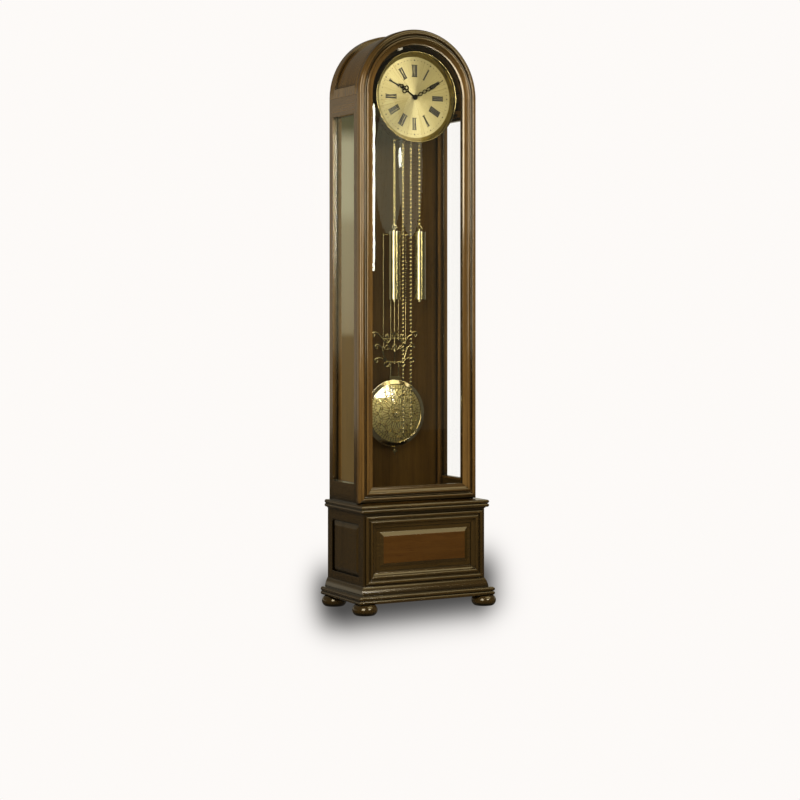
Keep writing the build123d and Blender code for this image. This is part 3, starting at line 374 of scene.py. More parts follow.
def glass(name):
    """Clear pane: straight through, with a faint green tint and a mirror sheen at a slant."""
    material, tree, surface = bare_material(name)
    smear = noise(tree, place(tree), 7.0, 3.0)
    tint = ramp(tree, smear, (0.35, (0.996, 0.999, 0.996)), (0.7, (0.999, 1.0, 0.999)))
    through = add(tree, "ShaderNodeBsdfTransparent", {"Color": tint})
    mirror = add(tree, "ShaderNodeBsdfGlossy", {"Color": (0.94, 0.96, 0.80, 1.0), "Roughness": 0.0})
    fresnel = add(tree, "ShaderNodeFresnel", {"IOR": 1.5})
    hit = add(tree, "ShaderNodeNewGeometry").outputs
    normal_and_place = {0: hit["Normal"], 1: hit["Position"]}
    facing = add(tree, "ShaderNodeVectorMath", normal_and_place, operation="DOT_PRODUCT")
    outward = math_node(tree, "GREATER_THAN", facing.outputs["Value"], 0.0)
    outside = math_node(tree, "MULTIPLY_ADD", outward, 0.95, 0.05)
    front = math_node(tree, "SUBTRACT", 1.0, hit["Backfacing"])
    slant = span(tree, fresnel.outputs["Fac"], 0.04, 0.13, 0.03, 0.27)
    sheen = math_node(tree, "MULTIPLY", slant, math_node(tree, "MULTIPLY", outside, front))
    mixed = mix_shader(tree, sheen, through.outputs["BSDF"], mirror.outputs["BSDF"])
    tree.links.new(mixed, surface)
    return material


BRASS = ((0.52, 0.425, 0.185), (0.66, 0.555, 0.275))
brass = metal("polished_brass", BRASS, 0.11, spread=0.03)
bezel_brass = metal("bezel_brass", ((0.33, 0.270, 0.112), (0.43, 0.360, 0.165)), 0.06, spread=0.02)
weight_brass = metal("lacquered_brass", ((0.33, 0.280, 0.108), (0.43, 0.370, 0.158)), 0.24,
                     spread=0.04, relief=0.008, coat=1.0)
worn_brass = metal("worn_brass", ((0.36, 0.300, 0.125), (0.50, 0.420, 0.190)), 0.10, spread=0.04)
plain_brass = metal("rolled_brass", ((0.50, 0.38, 0.13), (0.62, 0.48, 0.18)), 0.32)
steel = metal("brushed_steel", ((0.30, 0.30, 0.30), (0.42, 0.42, 0.42)), 0.34)
blued = metal("black_hands", ((0.006, 0.006, 0.007), (0.014, 0.013, 0.013)), 0.38)
pane = glass("clear_pane")


def plastic(name, tones, roughness):
    """Moulded plastic with a faint mottled grain."""
    material, tree, shader = material_with_shader(name)
    cloud = noise(tree, place(tree), 60.0, 3.0)
    fine = noise(tree, place(tree), 1500.0, 2.0)
    colour = ramp(tree, cloud, (0.3, tones[0]), (0.7, tones[1]))
    gloss = span(tree, fine, 0.3, 0.7, roughness - 0.05, roughness + 0.05)
    feed(tree, shader, Base_Color=colour, Roughness=gloss, Normal=bumped(tree, fine, 0.06, 0.0003))
    return material


cream = plastic("cream_plastic", ((0.60, 0.54, 0.42), (0.70, 0.64, 0.52)), 0.4)


def sunray(name):
    """Satin dial brass, brushed outwards from the centre."""
    material, tree, shader = material_with_shader(
        name, Metallic=0.52, Anisotropic=0.85, Specular_IOR_Level=0.9,
        Specular_Tint=(1.0, 0.96, 0.84, 1.0))
    tangent = add(tree, "ShaderNodeTangent", direction_type="RADIAL", axis="Y")
    parts = axes(tree)
    rise = math_node(tree, "SUBTRACT", parts["Z"], dial_z)
    angle = math_node(tree, "ARCTAN2", rise, parts["X"])
    turn = add(tree, "ShaderNodeCombineXYZ", {"X": math_node(tree, "COSINE", angle),
                                              "Y": math_node(tree, "SINE", angle)})
    rays = noise(tree, turn.outputs["Vector"], 90.0, 3.0, 0.7)
    broad = noise(tree, turn.outputs["Vector"], 3.0, 2.0)
    both = math_node(tree, "MULTIPLY_ADD", rays, 0.5, math_node(tree, "MULTIPLY", broad, 0.5))
    colour = ramp(tree, both, (0.35, (0.335, 0.284, 0.114)), (0.65, (0.415, 0.360, 0.160)))
    gloss = span(tree, rays, 0.3, 0.7, 0.26, 0.33)
    feed(tree, shader, Base_Color=colour, Roughness=gloss, Normal=bumped(tree, rays, 0.08, 0.0003),
         Tangent=tangent.outputs["Tangent"])
    return material


dial_metal = sunray("dial_sunray")


def chased(name):
    """Bob brass: a plain polished border round a darker, stippled ground for the ornament."""
    material, tree, shader = material_with_shader(
        name, Metallic=1.0, Coat_Weight=1.0, Coat_Roughness=0.03, Coat_IOR=2.3)
    radius = radius_about(tree, axes(tree), bob_z)[1]
    ground = span(tree, radius, bob_border - 0.0020, bob_border - 0.0012, 1.0, 0.0)
    cloud = noise(tree, place(tree), 22.0, 3.0)
    bright = ramp(tree, cloud, (0.3, BRASS[0]), (0.7, BRASS[1]))
    cells = add(tree, "ShaderNodeTexVoronoi", {"Vector": place(tree), "Scale": 900.0})
    stipple = cells.outputs["Distance"]
    punched = ramp(tree, stipple, (0.1, (0.16, 0.131, 0.038)), (0.6, (0.76, 0.636, 0.235)))
    colour = mix(tree, ground, bright, punched)
    gloss = span(tree, ground, 0.0, 1.0, 0.16, 0.42)
    height = math_node(tree, "MULTIPLY", ground, stipple)
    feed(tree, shader, Base_Color=colour, Roughness=gloss, Normal=bumped(tree, height, 0.12, 0.0003))
    return material


bob_metal = chased("chased_brass")


# Materials of the solids
def dress(material, *names):
    """Give CAD nodes a material."""
    for name in names:
        data = nodes[name].data
        data.materials.clear()
        data.materials.append(material)


dress(wood("walnut_feet", along("z", 0.3, 0.1, 0.0), BASE_PAINTED_SHADE), "bun_feet")
dress(wood("walnut_plinth", base_run(0.2, 0.4, 0.1), BASE_PAINTED_SHADE), "plinth_moulding")
dress(wood("walnut_crown", base_run(0.5, 0.1, 0.3), BASE_PAINTED_SHADE), "base_crown")
dress(wood("walnut_boards", along("x", 0.1, 0.2, 0.7), WALNUT), "base_boards", "seat_board")
dress(wood("walnut_front", mitred(0.18, base_panel_z, 0.10, 0.7, 0.2, 0.1), BASE_PAINTED_SHADE), "base_front_frame")
dress(wood("walnut_bolection", mitred(0.216, base_panel_z, 0.110, 0.1, 0.6, 0.4), BASE_PAINTED_SHADE),
      "base_front_moulding")
# The panel's bevel and margin get painted shade in the base's darker tones
dress(wood("panel_front", along("x", 0.3, 0.3, 0.9), PANEL,
           painted_shade=outside_field(0.149, base_panel_z, 0.043)), "base_front_panel")
dress(wood("walnut_sides", between("y", -0.073, 0.118, 0.9, 0.5, 0.2), BASE_PAINTED_SHADE), "base_side_frames")
dress(wood("panel_sides", along("z", 0.8, 0.3, 0.2), BASE_PAINTED_SHADE), "base_side_panels")
# Painted shade: the trunk's side frames darken towards the floor, where less light falls
dress(wood("walnut_trunk", between("y", -0.028, 0.126, 0.4, 0.8, 0.6), WALNUT,
           painted_shade=by_height(0.80, 0.36)), "left_side_frame", "right_side_frame")
dress(wood("walnut_stops", along("z", 0.6, 0.9, 0.3), WALNUT, roughness=0.36, coat=0.0,
           specular=0.10), "side_glass_stops", "back_posts")
dress(wood("back_veneer", along("z", 0.2, 0.5, 0.8), BACK, roughness=0.32, coat=0.0,
           specular=0.10), "back_panel")
dress(wood("walnut_arch", arched(0.1, 0.5, 0.2), LIT_WALNUT), "arch_frame", "roof_panel")
dress(wood("walnut_cleats", along("y", 0.7, 0.7, 0.2), WALNUT), "seat_cleats")
# Painted shade: the door's arch darkens towards its top
dress(wood("door_arch_wood", arched(0.8, 0.2, 0.5), LIT_WALNUT, painted_shade=by_height(1.71, 1.83)),
      "door_arch", "door_glass_stop")
dress(wood("door_stile_wood", along("z", 0.1, 0.9, 0.5), LIT_WALNUT), "door_stiles")
dress(wood("door_rail_wood", along("x", 0.5, 0.2, 0.3), RAIL_PAINTED_SHADE), "door_rail")
dress(pane, "side_glass", "door_glass")
dress(bob_metal, "pendulum_bob")
dress(weight_brass, "left_weight", "right_weight")
dress(worn_brass, "lyre_rods", "lyre_frame", "left_chain_ring", "right_chain_ring")
dress(brass, "bezel", "bob_fittings", "pendulum_leader", "hinge_case_leaves", "hinge_door_leaves")
dress(dial_metal, "dial_plate")
dress(plain_brass, "movement_plates", "plate_pillars", "great_wheel", "centre_wheel", "third_wheel",
      "escape_wheel", "left_chain_wheel", "right_chain_wheel", "cannon_pinion", "minute_wheel",
      "hour_wheel", "suspension_cock", "left_chain", "right_chain")
dress(blued, "minute_hand", "hour_hand")
dress(steel, "anchor", "suspension_spring", "strike_hammer", "gong", "catch_plate")
dress(cream, "door_catch")


# Mesh helpers
sharp_angle = 42


def piece(name, build, material, body, smooth=False):
    """New mesh piece from a Build; it rides on a body, if one is named."""
    mesh = bpy.data.meshes.new(name)
    mesh.from_pydata(build.verts, [], build.faces)
    mesh.validate()
    shell = bmesh.new()
    shell.from_mesh(mesh)
    bmesh.ops.recalc_face_normals(shell, faces=shell.faces)
    shell.to_mesh(mesh)
    shell.free()
    mesh.materials.append(material)
    if smooth:
        mesh.polygons.foreach_set("use_smooth", [True] * len(mesh.polygons))
        mesh.set_sharp_from_angle(angle=math.radians(sharp_angle))
    made = bpy.data.objects.new(name, mesh)
    scene.collection.objects.link(made)
    if body:
        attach(made, body)
    return made


class Build:
    """Verts and faces gathered from several shapes."""

    def __init__(self):
        self.verts = []
        self.faces = []

    def take(self, verts, faces):
        """Add a shape."""
        start = len(self.verts)
        self.verts += [tuple(v) for v in verts]
        self.faces += [tuple(start + i for i in face) for face in faces]

    def prism(self, outline, move):
        """Flat outline of (u, v) points made solid; move turns (u, v, depth) into a place."""
        count = len(outline)
        front = [move(u, v, 1.0) for u, v in outline]
        back = [move(u, v, 0.0) for u, v in outline]
        sides = [(i, (i + 1) % count, count + (i + 1) % count, count + i) for i in range(count)]
        self.take(front + back, [tuple(range(count)), tuple(reversed(range(count, 2 * count)))] + sides)

    def band(self, path, width, move, closed=False):
        """Flat strip along a path of (u, v) points; width may be a function of the share of the way."""
        count = len(path)
        verts = []
        for i, (u, v) in enumerate(path):
            before = path[i - 1] if closed or i else path[0]
            after = path[(i + 1) % count] if closed or i < count - 1 else path[-1]
            run = Vector((after[0] - before[0], after[1] - before[1])).normalized()
            half = (width(i / (count - 1)) if callable(width) else width) / 2
            for side in (-half, half):
                verts += [move(u + side * run.y, v - side * run.x, depth) for depth in (1.0, 0.0)]
        faces = []
        for i in range(count if closed else count - 1):
            a = 4 * i
            b = 4 * ((i + 1) % count)
            faces += [(a, a + 2, b + 2, b), (a + 1, b + 1, b + 3, a + 3),
                      (a, b, b + 1, a + 1), (a + 2, a + 3, b + 3, b + 2)]
        if not closed:
            last = 4 * count - 4
            faces += [(0, 1, 3, 2), (last, last + 2, last + 3, last + 1)]
        self.take(verts, faces)

    def turned(self, profile, origin, axis, sides=24, hollow=False):
        """Lathe shape from radii and distances along the axis; hollow makes it a ring."""
        axis = Vector(axis)
        side = axis.orthogonal().normalized()
        other = axis.cross(side)
        verts = []
        for radius, along_axis in profile:
            for k in range(sides):
                turn = 2 * math.pi * k / sides
                verts.append(Vector(origin) + along_axis * axis
                             + radius * (math.cos(turn) * side + math.sin(turn) * other))
        faces = self.skin(len(profile), sides, hollow)
        if not hollow:
            last = len(verts) - sides
            faces = [tuple(range(sides)), tuple(reversed(range(last, len(verts))))] + faces
        self.take(verts, faces)

    @staticmethod
    def skin(rows, sides, closed):
        """Faces between neighbouring rings of points."""
        faces = []
        for i in range(rows if closed else rows - 1):
            j = (i + 1) % rows
            for k in range(sides):
                m = (k + 1) % sides
                faces.append((i * sides + k, i * sides + m, j * sides + m, j * sides + k))
        return faces

    def tube(self, path, radius, sides=8, closed=False, up=Vector((0, 1, 0))):
        """Round wire along a path of points; radius may be a function of the share of the way."""
        count = len(path)
        verts = []
        for i, point in enumerate(path):
            before = path[i - 1] if closed or i else path[0]
            after = path[(i + 1) % count] if closed or i < count - 1 else path[-1]
            run = (Vector(after) - Vector(before)).normalized()
            side = run.cross(up).normalized()
            lift = side.cross(run).normalized()
            size = radius(i / max(1, count - 1)) if callable(radius) else radius
            for k in range(sides):
                turn = 2 * math.pi * k / sides
                verts.append(Vector(point) + size * (math.cos(turn) * side + math.sin(turn) * lift))
        faces = self.skin(count, sides, closed)
        if not closed:
            faces.append(tuple(reversed(range(sides))))
            faces.append(tuple((count - 1) * sides + k for k in range(sides)))
        self.take(verts, faces)


def flowing(points, steps=8):
    """Smooth path through a list of points."""
    ends = [points[0], *points, points[-1]]
    path = []
    for a, b, c, d in zip(ends, ends[1:], ends[2:], ends[3:]):
        for k in range(steps):
            t = k / steps
            path.append(tuple(0.5 * (2 * q + (r - p) * t + (2 * p - 5 * q + 4 * r - s) * t * t
                                     + (3 * q - p - 3 * r + s) * t ** 3)
                              for p, q, r, s in zip(a, b, c, d)))
    return path + [tuple(points[-1])]


def ring(u, v, radius, count=28):
    """Closed path round a point."""
    turns = [2 * math.pi * k / count for k in range(count)]
    return [(u + radius * math.cos(turn), v + radius * math.sin(turn)) for turn in turns]


def oval(half_width, middle, half_height, count):
    """Closed upright oval path."""
    turns = [2 * math.pi * k / count for k in range(count)]
    return [(half_width * math.sin(turn), middle - half_height * math.cos(turn)) for turn in turns]


# Dial: Roman numerals with thick and thin strokes, and a dotted minute track
ink = plastic("numeral_enamel", ((0.006, 0.005, 0.005), (0.012, 0.011, 0.010)), 0.45)
NUMERALS = ("XII", "I", "II", "III", "IIII", "V", "VI", "VII", "VIII", "IX", "X", "XI")
numeral_low = 0.0665
numeral_high = 0.1065
numeral_rise = 0.00025
thick = 0.0050
thin = 0.0017
letter_gap = 0.0006
serif = 0.0021
serif_reach = 0.0009
widest = 0.0195
letter_width = {"I": thick, "V": 0.0090, "X": 0.0092}
track_radius = 0.121
hour_dot = 0.0030
minute_dot = 0.0014


def on_dial(angle, u, v, depth):
    """Place on the dial: u to the right of the ray at that clock angle, v out from the centre."""
    across = Vector((math.cos(angle), 0, -math.sin(angle)))
    outward = Vector((math.sin(angle), 0, math.cos(angle)))
    flat = Vector((0, dial_front - depth * numeral_rise, dial_z))
    return flat + u * across + v * outward


def slanted(low_u, high_u, width):
    """Stroke from the foot to the head of a numeral."""
    half = width / 2
    return [(low_u - half, numeral_low), (low_u + half, numeral_low),
            (high_u + half, numeral_high), (high_u - half, numeral_high)]


numerals = Build()
for number, text in enumerate(NUMERALS):
    angle = math.radians(30 * number)
    width = sum(letter_width[letter] for letter in text) + letter_gap * (len(text) - 1)
    cursor = -width / 2
    strokes = []
    for letter in text:
        size = letter_width[letter]
        left = cursor + thick / 2
        right = cursor + size - thick / 2
        if letter == "I":
            strokes.append(slanted(left, left, thick))
        elif letter == "V":
            strokes.append(slanted(cursor + size * 0.55, left, thick))
            strokes.append(slanted(cursor + size * 0.55, right + thin, thin))
        else:
            strokes.append(slanted(right, left, thick))
            strokes.append(slanted(left - thin / 2, right + thin / 2, thin))
        cursor += size + letter_gap
    reach = width / 2 + serif_reach
    narrow = min(1.0, widest / width)
    for edge, step in ((numeral_low, serif), (numeral_high, -serif)):
        strokes.append([(-reach, edge), (reach, edge), (reach, edge + step), (-reach, edge + step)])
    for stroke in strokes:
        numerals.prism(stroke, lambda u, v, depth: on_dial(angle, u * narrow, v, depth))
piece("dial_numerals", numerals, ink, "case")

track = Build()
for number in range(60):
    angle = math.radians(6 * number)
    size, corners = (minute_dot, 8) if number % 5 else (hour_dot, 4)
    track.prism(ring(0.0, track_radius, size, corners), lambda u, v, depth: on_dial(angle, u, v, depth))
piece("dial_minute_track", track, ink, "case")

# Bezel turned smooth, with the section of its solid
rim_turns = [math.radians(angle) for angle in (150, 120, 90, 60, 30)]
rim = [(0.1468 + 0.002 * math.cos(turn), -0.0518 - 0.0027 * math.sin(turn)) for turn in rim_turns]
bezel_section = [(0.132, -0.037), (0.132, -0.038), (0.145, -0.053), *rim, (0.149, -0.0515),
                 (0.149, -0.015), (0.1465, -0.015), (0.1465, -0.034), (0.137, -0.034), (0.137, -0.037)]
bezel = Build()
bezel.turned(bezel_section, (0, 0, dial_z), (0, 1, 0), 160, True)
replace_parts(piece("bezel_turned", bezel, bezel_brass, "case", True), "bezel")

# Catch with a tongue that hangs into the opening of the arch
catch_lean = 20
catch_back = -0.0345
tongue_thickness = 0.010


def on_arch(u, v, depth):
    """Place at the catch: u along the arch, v out from its middle, depth towards the viewer."""
    turn = math.radians(catch_lean)
    across = Vector((math.cos(turn), 0, math.sin(turn)))
    outward = Vector((-math.sin(turn), 0, math.cos(turn)))
    return Vector((0, catch_back - tongue_thickness * depth, arch_z)) + u * across + v * outward


tongue = Build()
tongue.prism([(-0.0085, 0.1800), (-0.0085, 0.1630), (-0.0065, 0.1585), (0.0065, 0.1585), (0.0085, 0.1630),
              (0.0085, 0.1800)], on_arch)
piece("catch_tongue", tongue, cream, "case")

# Pierced serpentine hands
hand_sheet = 0.0008
hour_angle = 305.0
hour_front = -0.0406
minute_angle = 60.0
minute_front = -0.0435


def on_hand(clock_angle, near):
    """Move for a hand: u to the right of its line, v out from the hub."""
    angle = math.radians(clock_angle)

    def move(u, v, depth):
        flat = on_dial(angle, u, v, 0.0)
        return Vector((flat.x, near + (1.0 - depth) * hand_sheet, flat.z))
    return move


hour_move = on_hand(hour_angle, hour_front)
hour = Build()
hour.prism(ring(0.0, 0.0, 0.0085), hour_move)
hour.band([(0.0, 0.006), (0.0, 0.020), (0.0, 0.0330)], lambda t: 0.0062 - 0.0022 * t, hour_move)
for side in (-1, 1):
    hour.band(ring(side * 0.0068, 0.0418, 0.0060), 0.0032, hour_move, True)
    hour.band(flowing([(0.0, 0.0300), (side * 0.0036, 0.0338), (side * 0.0080, 0.0360)], 4),
              0.0030, hour_move)
    hour.band(flowing([(side * 0.0080, 0.0474), (side * 0.0046, 0.0512), (side * 0.0006, 0.0550)], 4),
              0.0030, hour_move)
    hour.band(flowing([(side * 0.0012, 0.0540), (side * 0.0056, 0.0562), (side * 0.0066, 0.0606),
                       (side * 0.0036, 0.0614)], 4), lambda t: 0.0025 - 0.0010 * t, hour_move)
    hour.band(flowing([(0.0, 0.0545), (side * 0.0042, 0.0590), (side * 0.0032, 0.0650),
                       (0.0, 0.0690)], 5), 0.0024, hour_move)
hour.band([(0.0, 0.0420), (0.0, 0.0490), (0.0, 0.0560)], lambda t: 0.0034 - 0.0008 * t, hour_move)
hour.band([(0.0, 0.0550), (0.0, 0.0610), (0.0, 0.0680)], 0.0012, hour_move)
hour.band([(0.0, 0.0670), (0.0, 0.0710), (0.0, 0.0750)], lambda t: 0.0032 - 0.0022 * t, hour_move)
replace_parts(piece("hour_hand_pierced", hour, blued, "hour_hand"), "hour_hand")

minute_move = on_hand(minute_angle, minute_front)
minute = Build()
minute.prism(ring(0.0, 0.0, 0.0070), minute_move)
minute.band([(0.0, 0.005), (0.0, 0.010), (0.0, 0.0150)], lambda t: 0.0056 - 0.0016 * t, minute_move)
for side in (-1, 1):
    wave = [(side * 0.0054 * math.sin(2 * math.pi * k / 24), 0.0140 + 0.0520 * k / 36) for k in range(37)]
    minute.band(wave, 0.0029, minute_move)
    minute.band(flowing([(side * 0.0010, 0.0630), (side * 0.0052, 0.0660), (side * 0.0064, 0.0712),
                         (side * 0.0034, 0.0722)], 4), lambda t: 0.0025 - 0.0010 * t, minute_move)
    minute.band(flowing([(0.0, 0.0640), (side * 0.0052, 0.0720), (side * 0.0056, 0.0800),
                         (side * 0.0028, 0.0900), (0.0, 0.0975)], 5), 0.0023, minute_move)
minute.band([(0.0, 0.0640), (0.0, 0.0800), (0.0, 0.0970)], 0.0013, minute_move)
for v in (0.0745, 0.0830):
    minute.band([(-0.0044, v + 0.0020), (0.0, v), (0.0044, v + 0.0020)], 0.0014, minute_move)
minute.band([(0.0, 0.0960), (0.0, 0.1080), (0.0, 0.1190)], lambda t: 0.0030 - 0.0019 * t, minute_move)
hub = [(0.0088, 0.0), (0.0088, 0.0004), (0.0080, 0.0010), (0.0062, 0.0018), (0.0036, 0.0024),
       (0.0004, 0.0026)]
minute.turned(hub, (0, minute_front, dial_z), (0, -1, 0))
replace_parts(piece("minute_hand_pierced", minute, blued, "minute_hand"), "minute_hand")

# Chased ornament on the front of the bob: rosette, scrolls in sectors, rays and rings
dome_radius = 0.44205
dome_rise = 0.0169
ornament_wire = 0.0012
sectors = 12
rays = 60


def on_bob(u, v):
    """Place on the domed front of the bob, u to the right and v up from its middle."""
    rise = dome_rise - dome_radius + math.sqrt(dome_radius ** 2 - u * u - v * v)
    return Vector((u, pendulum_y - rise, bob_z + v))


def in_sector(turn, points):
    """Points of a sector pattern, turned about the middle of the bob."""
    cos, sin = math.cos(turn), math.sin(turn)
    return [on_bob(u * cos + v * sin, v * cos - u * sin) for u, v in points]


def spiral(u, v, start, turns, first, last, count=26):
    """Path that winds in to a point."""
    path = []
    for k in range(count):
        t = k / (count - 1)
        angle = start + 2 * math.pi * turns * t
        radius = first + (last - first) * t
        path.append((u + radius * math.cos(angle), v + radius * math.sin(angle)))
    return path


ornament = Build()
for radius in (0.0955, 0.0825, 0.0310):
    ornament.tube([on_bob(u, v) for u, v in ring(0.0, 0.0, radius, 96)], 0.0010, 6, True)
for k in range(rays):
    turn = 2 * math.pi * k / rays
    ornament.tube(in_sector(turn, [(0.0, 0.0835), (0.0, 0.0945)]), 0.0011, 6)
for k in range(sectors):
    turn = 2 * math.pi * k / sectors
    half_turn = turn + math.pi / sectors
    ornament.tube(in_sector(half_turn, oval(0.0050, 0.0185, 0.0105, 18)), ornament_wire, 6, True)
    ornament.tube(in_sector(half_turn, [(0.0, 0.0120), (0.0, 0.0250)]), 0.0013, 6)
    ornament.tube(in_sector(half_turn, [(0.0, 0.0330), (0.0, 0.0520), (0.0, 0.0640)]), ornament_wire, 6)
    for side in (-1, 1):
        scroll = spiral(0.0088, 0.0590, -math.pi / 2, 1.5, 0.0072, 0.0018)
        path = [(0.0010, 0.0320), (0.0020, 0.0400), (0.0050, 0.0480)] + scroll
        ornament.tube(in_sector(turn, [(side * u, v) for u, v in path]), ornament_wire, 6)
        leaf = flowing([(0.0024, 0.0640), (0.0062, 0.0725), (0.0112, 0.0785), (0.0160, 0.0720)], 5)
        ornament.tube(in_sector(turn, [(side * u, v) for u, v in leaf]), ornament_wire, 6)
    ornament.tube(in_sector(turn, oval(0.0028, 0.0735, 0.0072, 14)), ornament_wire, 6, True)
boss = [(0.0058, -0.0003), (0.0055, 0.0006), (0.0040, 0.0014), (0.0018, 0.0018), (0.0003, 0.0019)]
ornament.turned(boss, on_bob(0.0, 0.0), (0, -1, 0))
piece("bob_ornament", ornament, brass, "pendulum", True)

# Lyre of round tapering scrolls with turned cross bars; the scrolls' points are in millimetres
ARM = [(8, 793), (24, 797), (36, 808), (43, 824), (44, 840), (40, 856), (42, 868), (46, 876)]
TOP = [(44, 874), (52, 880), (62, 889), (73, 895), (82, 893), (85, 886), (80, 881), (75, 885)]
MIDDLE = [(43, 840), (52, 846), (62, 853), (71, 852), (74, 845), (69, 841), (65, 845)]
LOW = [(20, 793), (32, 797), (46, 806), (60, 810), (71, 806), (74, 798), (68, 794), (64, 799)]
HANGING = [(16, 793), (22, 784), (31, 780), (38, 785), (37, 792), (31, 791)]
INNER = [(15, 838), (20, 847), (28, 851), (35, 847), (36, 840), (30, 837), (26, 841)]
CREST = [(15, 873), (20, 864), (28, 860), (35, 863), (36, 869), (30, 870), (27, 866)]
knob = [(0.0004, -0.0030), (0.0026, -0.0020), (0.0033, 0.0), (0.0026, 0.0020), (0.0004, 0.0030)]
lyre = Build()
for side in (-1, 1):
    for points, size in ((ARM, 0.0042), (TOP, 0.0039), (MIDDLE, 0.0036), (LOW, 0.0038), (HANGING, 0.0032),
                         (INNER, 0.0027), (CREST, 0.0027)):
        path = [Vector((side * x / 1000, pendulum_y, z / 1000)) for x, z in flowing(points, 5)]
        lyre.tube(path, lambda t: size * (1.0 - 0.35 * t), 10)
        lyre.turned(knob, path[-1], (0, -1, 0), 14)

collar = [(0.0030, -0.0040), (0.0038, -0.0032), (0.0038, 0.0032), (0.0030, 0.0040)]


def bar(z, reach, width, collars):
    """Turned cross bar with a collar on each rod and a knob at each end."""
    half = [(width * 0.5, 0.0), (width * 0.62, reach * 0.5), (width * 0.5, reach - 0.004),
            (width * 1.25, reach - 0.0032), (width * 1.35, reach - 0.0010), (width * 0.6, reach)]
    profile = [(r, -a) for r, a in reversed(half[1:])] + half
    lyre.turned(profile, (0, pendulum_y, z), (1, 0, 0), 18)
    for x in collars:
        lyre.turned(collar, (x, pendulum_y, z), (0, 0, 1), 16)


rod_places = (-0.042, -0.0145, 0.0, 0.0145, 0.042)
bar(1.218, 0.048, 0.0034, rod_places)
bar(0.873, 0.048, 0.0034, rod_places)
bar(0.838, 0.048, 0.0030, (0.0,))
bar(0.793, 0.0225, 0.0034, (-0.0145, 0.0, 0.0145))
post = [(0.0019, 0.0), (0.0019, 0.030), (0.0032, 0.034), (0.0032, 0.040), (0.0019, 0.044),
        (0.0019, 0.080)]
lyre.turned(post, (0, pendulum_y, 0.793), (0, 0, 1), 16)
PALMETTES = ((0.0, 0.876, 0.022), (-0.028, 0.876, 0.015), (0.028, 0.876, 0.015), (0.0, 0.841, 0.015))
for x, foot, size in PALMETTES:
    for angle in (-56, -28, 0, 28, 56):
        turn = math.radians(angle)
        tip = size * (1.0 - abs(angle) / 180)
        path = [Vector((x + s * tip * math.sin(turn), pendulum_y, foot + s * tip * math.cos(turn)))
                for s in (0.15, 0.4, 0.65, 0.85, 1.0)]
        lyre.tube(path, lambda t: 0.0010 + 0.0019 * math.sin(math.pi * min(1.0, 0.15 + 0.8 * t)), 8)
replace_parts(piece("lyre_scrolls", lyre, worn_brass, "pendulum", True), "lyre_frame")

# Suspension spring: a flat strip between the cock and the leader
spring_low = 1.746
spring_step = 0.002
spring_width = 0.010
spring_sheet = 0.0004
spring = Build()
spring.band([(0.0, spring_low + spring_step * k) for k in range(15)], spring_width,
            lambda u, v, depth: Vector((u, pendulum_y + spring_sheet * (0.5 - depth), v)))
bent = piece("suspension_spring_bent", spring, steel, None)
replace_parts(bent, "suspension_spring")
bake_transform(bent)


# Chains of round wire links
link_wire = 0.0012
link_half_width = 0.0029


def link_path(middle, run, across, pitch):
    """Closed path of one oval link."""
    points = []
    straight = pitch / 2 + link_wire - link_half_width
    for sign in (1, -1):
        for k in range(6):
            turn = math.pi * (k / 5 - 0.5)
            points.append(middle + sign * run * (straight + link_half_width * math.cos(turn))
                          + sign * across * link_half_width * math.sin(turn))
    return points


def strand(name, stations, body):
    """Row of links; a station is a link's middle, its direction and its pitch."""
    made = Build()
    for number, (middle, run, pitch) in enumerate(stations):
        sideways = run.cross(Vector((0, 1, 0)))
        across = sideways if number % 2 else Vector((0, 1, 0))
        normal = run.cross(across)
        made.tube(link_path(middle, run, across, pitch), link_wire, 6, True, normal)
    return piece(name, made, worn_brass, body, True)


def hanging_stations(x, end_z):
    """Stations of links that hang from the wheel's height down to an end."""
    length = chain_wheel_z - end_z
    count = int(length / nominal_pitch)
    pitch = length / count
    return [(Vector((x, chain_y, chain_wheel_z - (k + 0.5) * pitch)), Vector((0, 0, -1)), pitch)
            for k in range(count)]


links_round = 16
into_hook = 0.001
nominal_pitch = 2 * math.pi * chain_radius / links_round
for side, name, free_end in ((-1, "left", 0.557), (1, "right", 0.569)):
    wheel_x = side * chain_wheel_x
    outer_x = wheel_x + side * chain_radius
    inner_x = wheel_x - side * chain_radius
    over_stations = []
    for k in range(links_round // 2):
        turn = math.pi * (k + 0.5) / (links_round / 2)
        middle = Vector((wheel_x + side * chain_radius * math.cos(turn), chain_y,
                         chain_wheel_z + chain_radius * math.sin(turn)))
        run = Vector((-side * math.sin(turn), 0, math.cos(turn)))
        over_stations.append((middle, run, nominal_pitch))
    over = strand(name + "_chain_over_wheel", over_stations, "case")
    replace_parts(over, name + "_chain")
    hanging = strand(name + "_chain_to_weight", hanging_stations(outer_x, hook_top - into_hook), None)
    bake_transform(hanging)
    free = strand(name + "_chain_free", hanging_stations(inner_x, free_end), None)
    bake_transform(free)

# Floor, background and light
BACKGROUND = (0.982, 0.956, 0.935, 1.0)
floor_reach = 8.0

# Edges of the shadow on the floor: the way each one faces in degrees, its distance and its softness
SHADOW_EDGES = ((-31.1, 0.215, 0.095), (154.1, 0.254, 0.099), (100.7, 0.232, 0.728),
                (158.2, 0.219, 0.140), (-84.1, -0.091, 0.544), (-86.0, 0.157, 0.542))
shadow_fall = 2.373
shadow_depth = 0.923


def seen_directly(tree):
    """1 for rays that show the background: camera and transmission rays."""
    path = add(tree, "ShaderNodeLightPath")
    return math_node(tree, "MAXIMUM", path.outputs["Is Camera Ray"], path.outputs["Is Transmission Ray"])


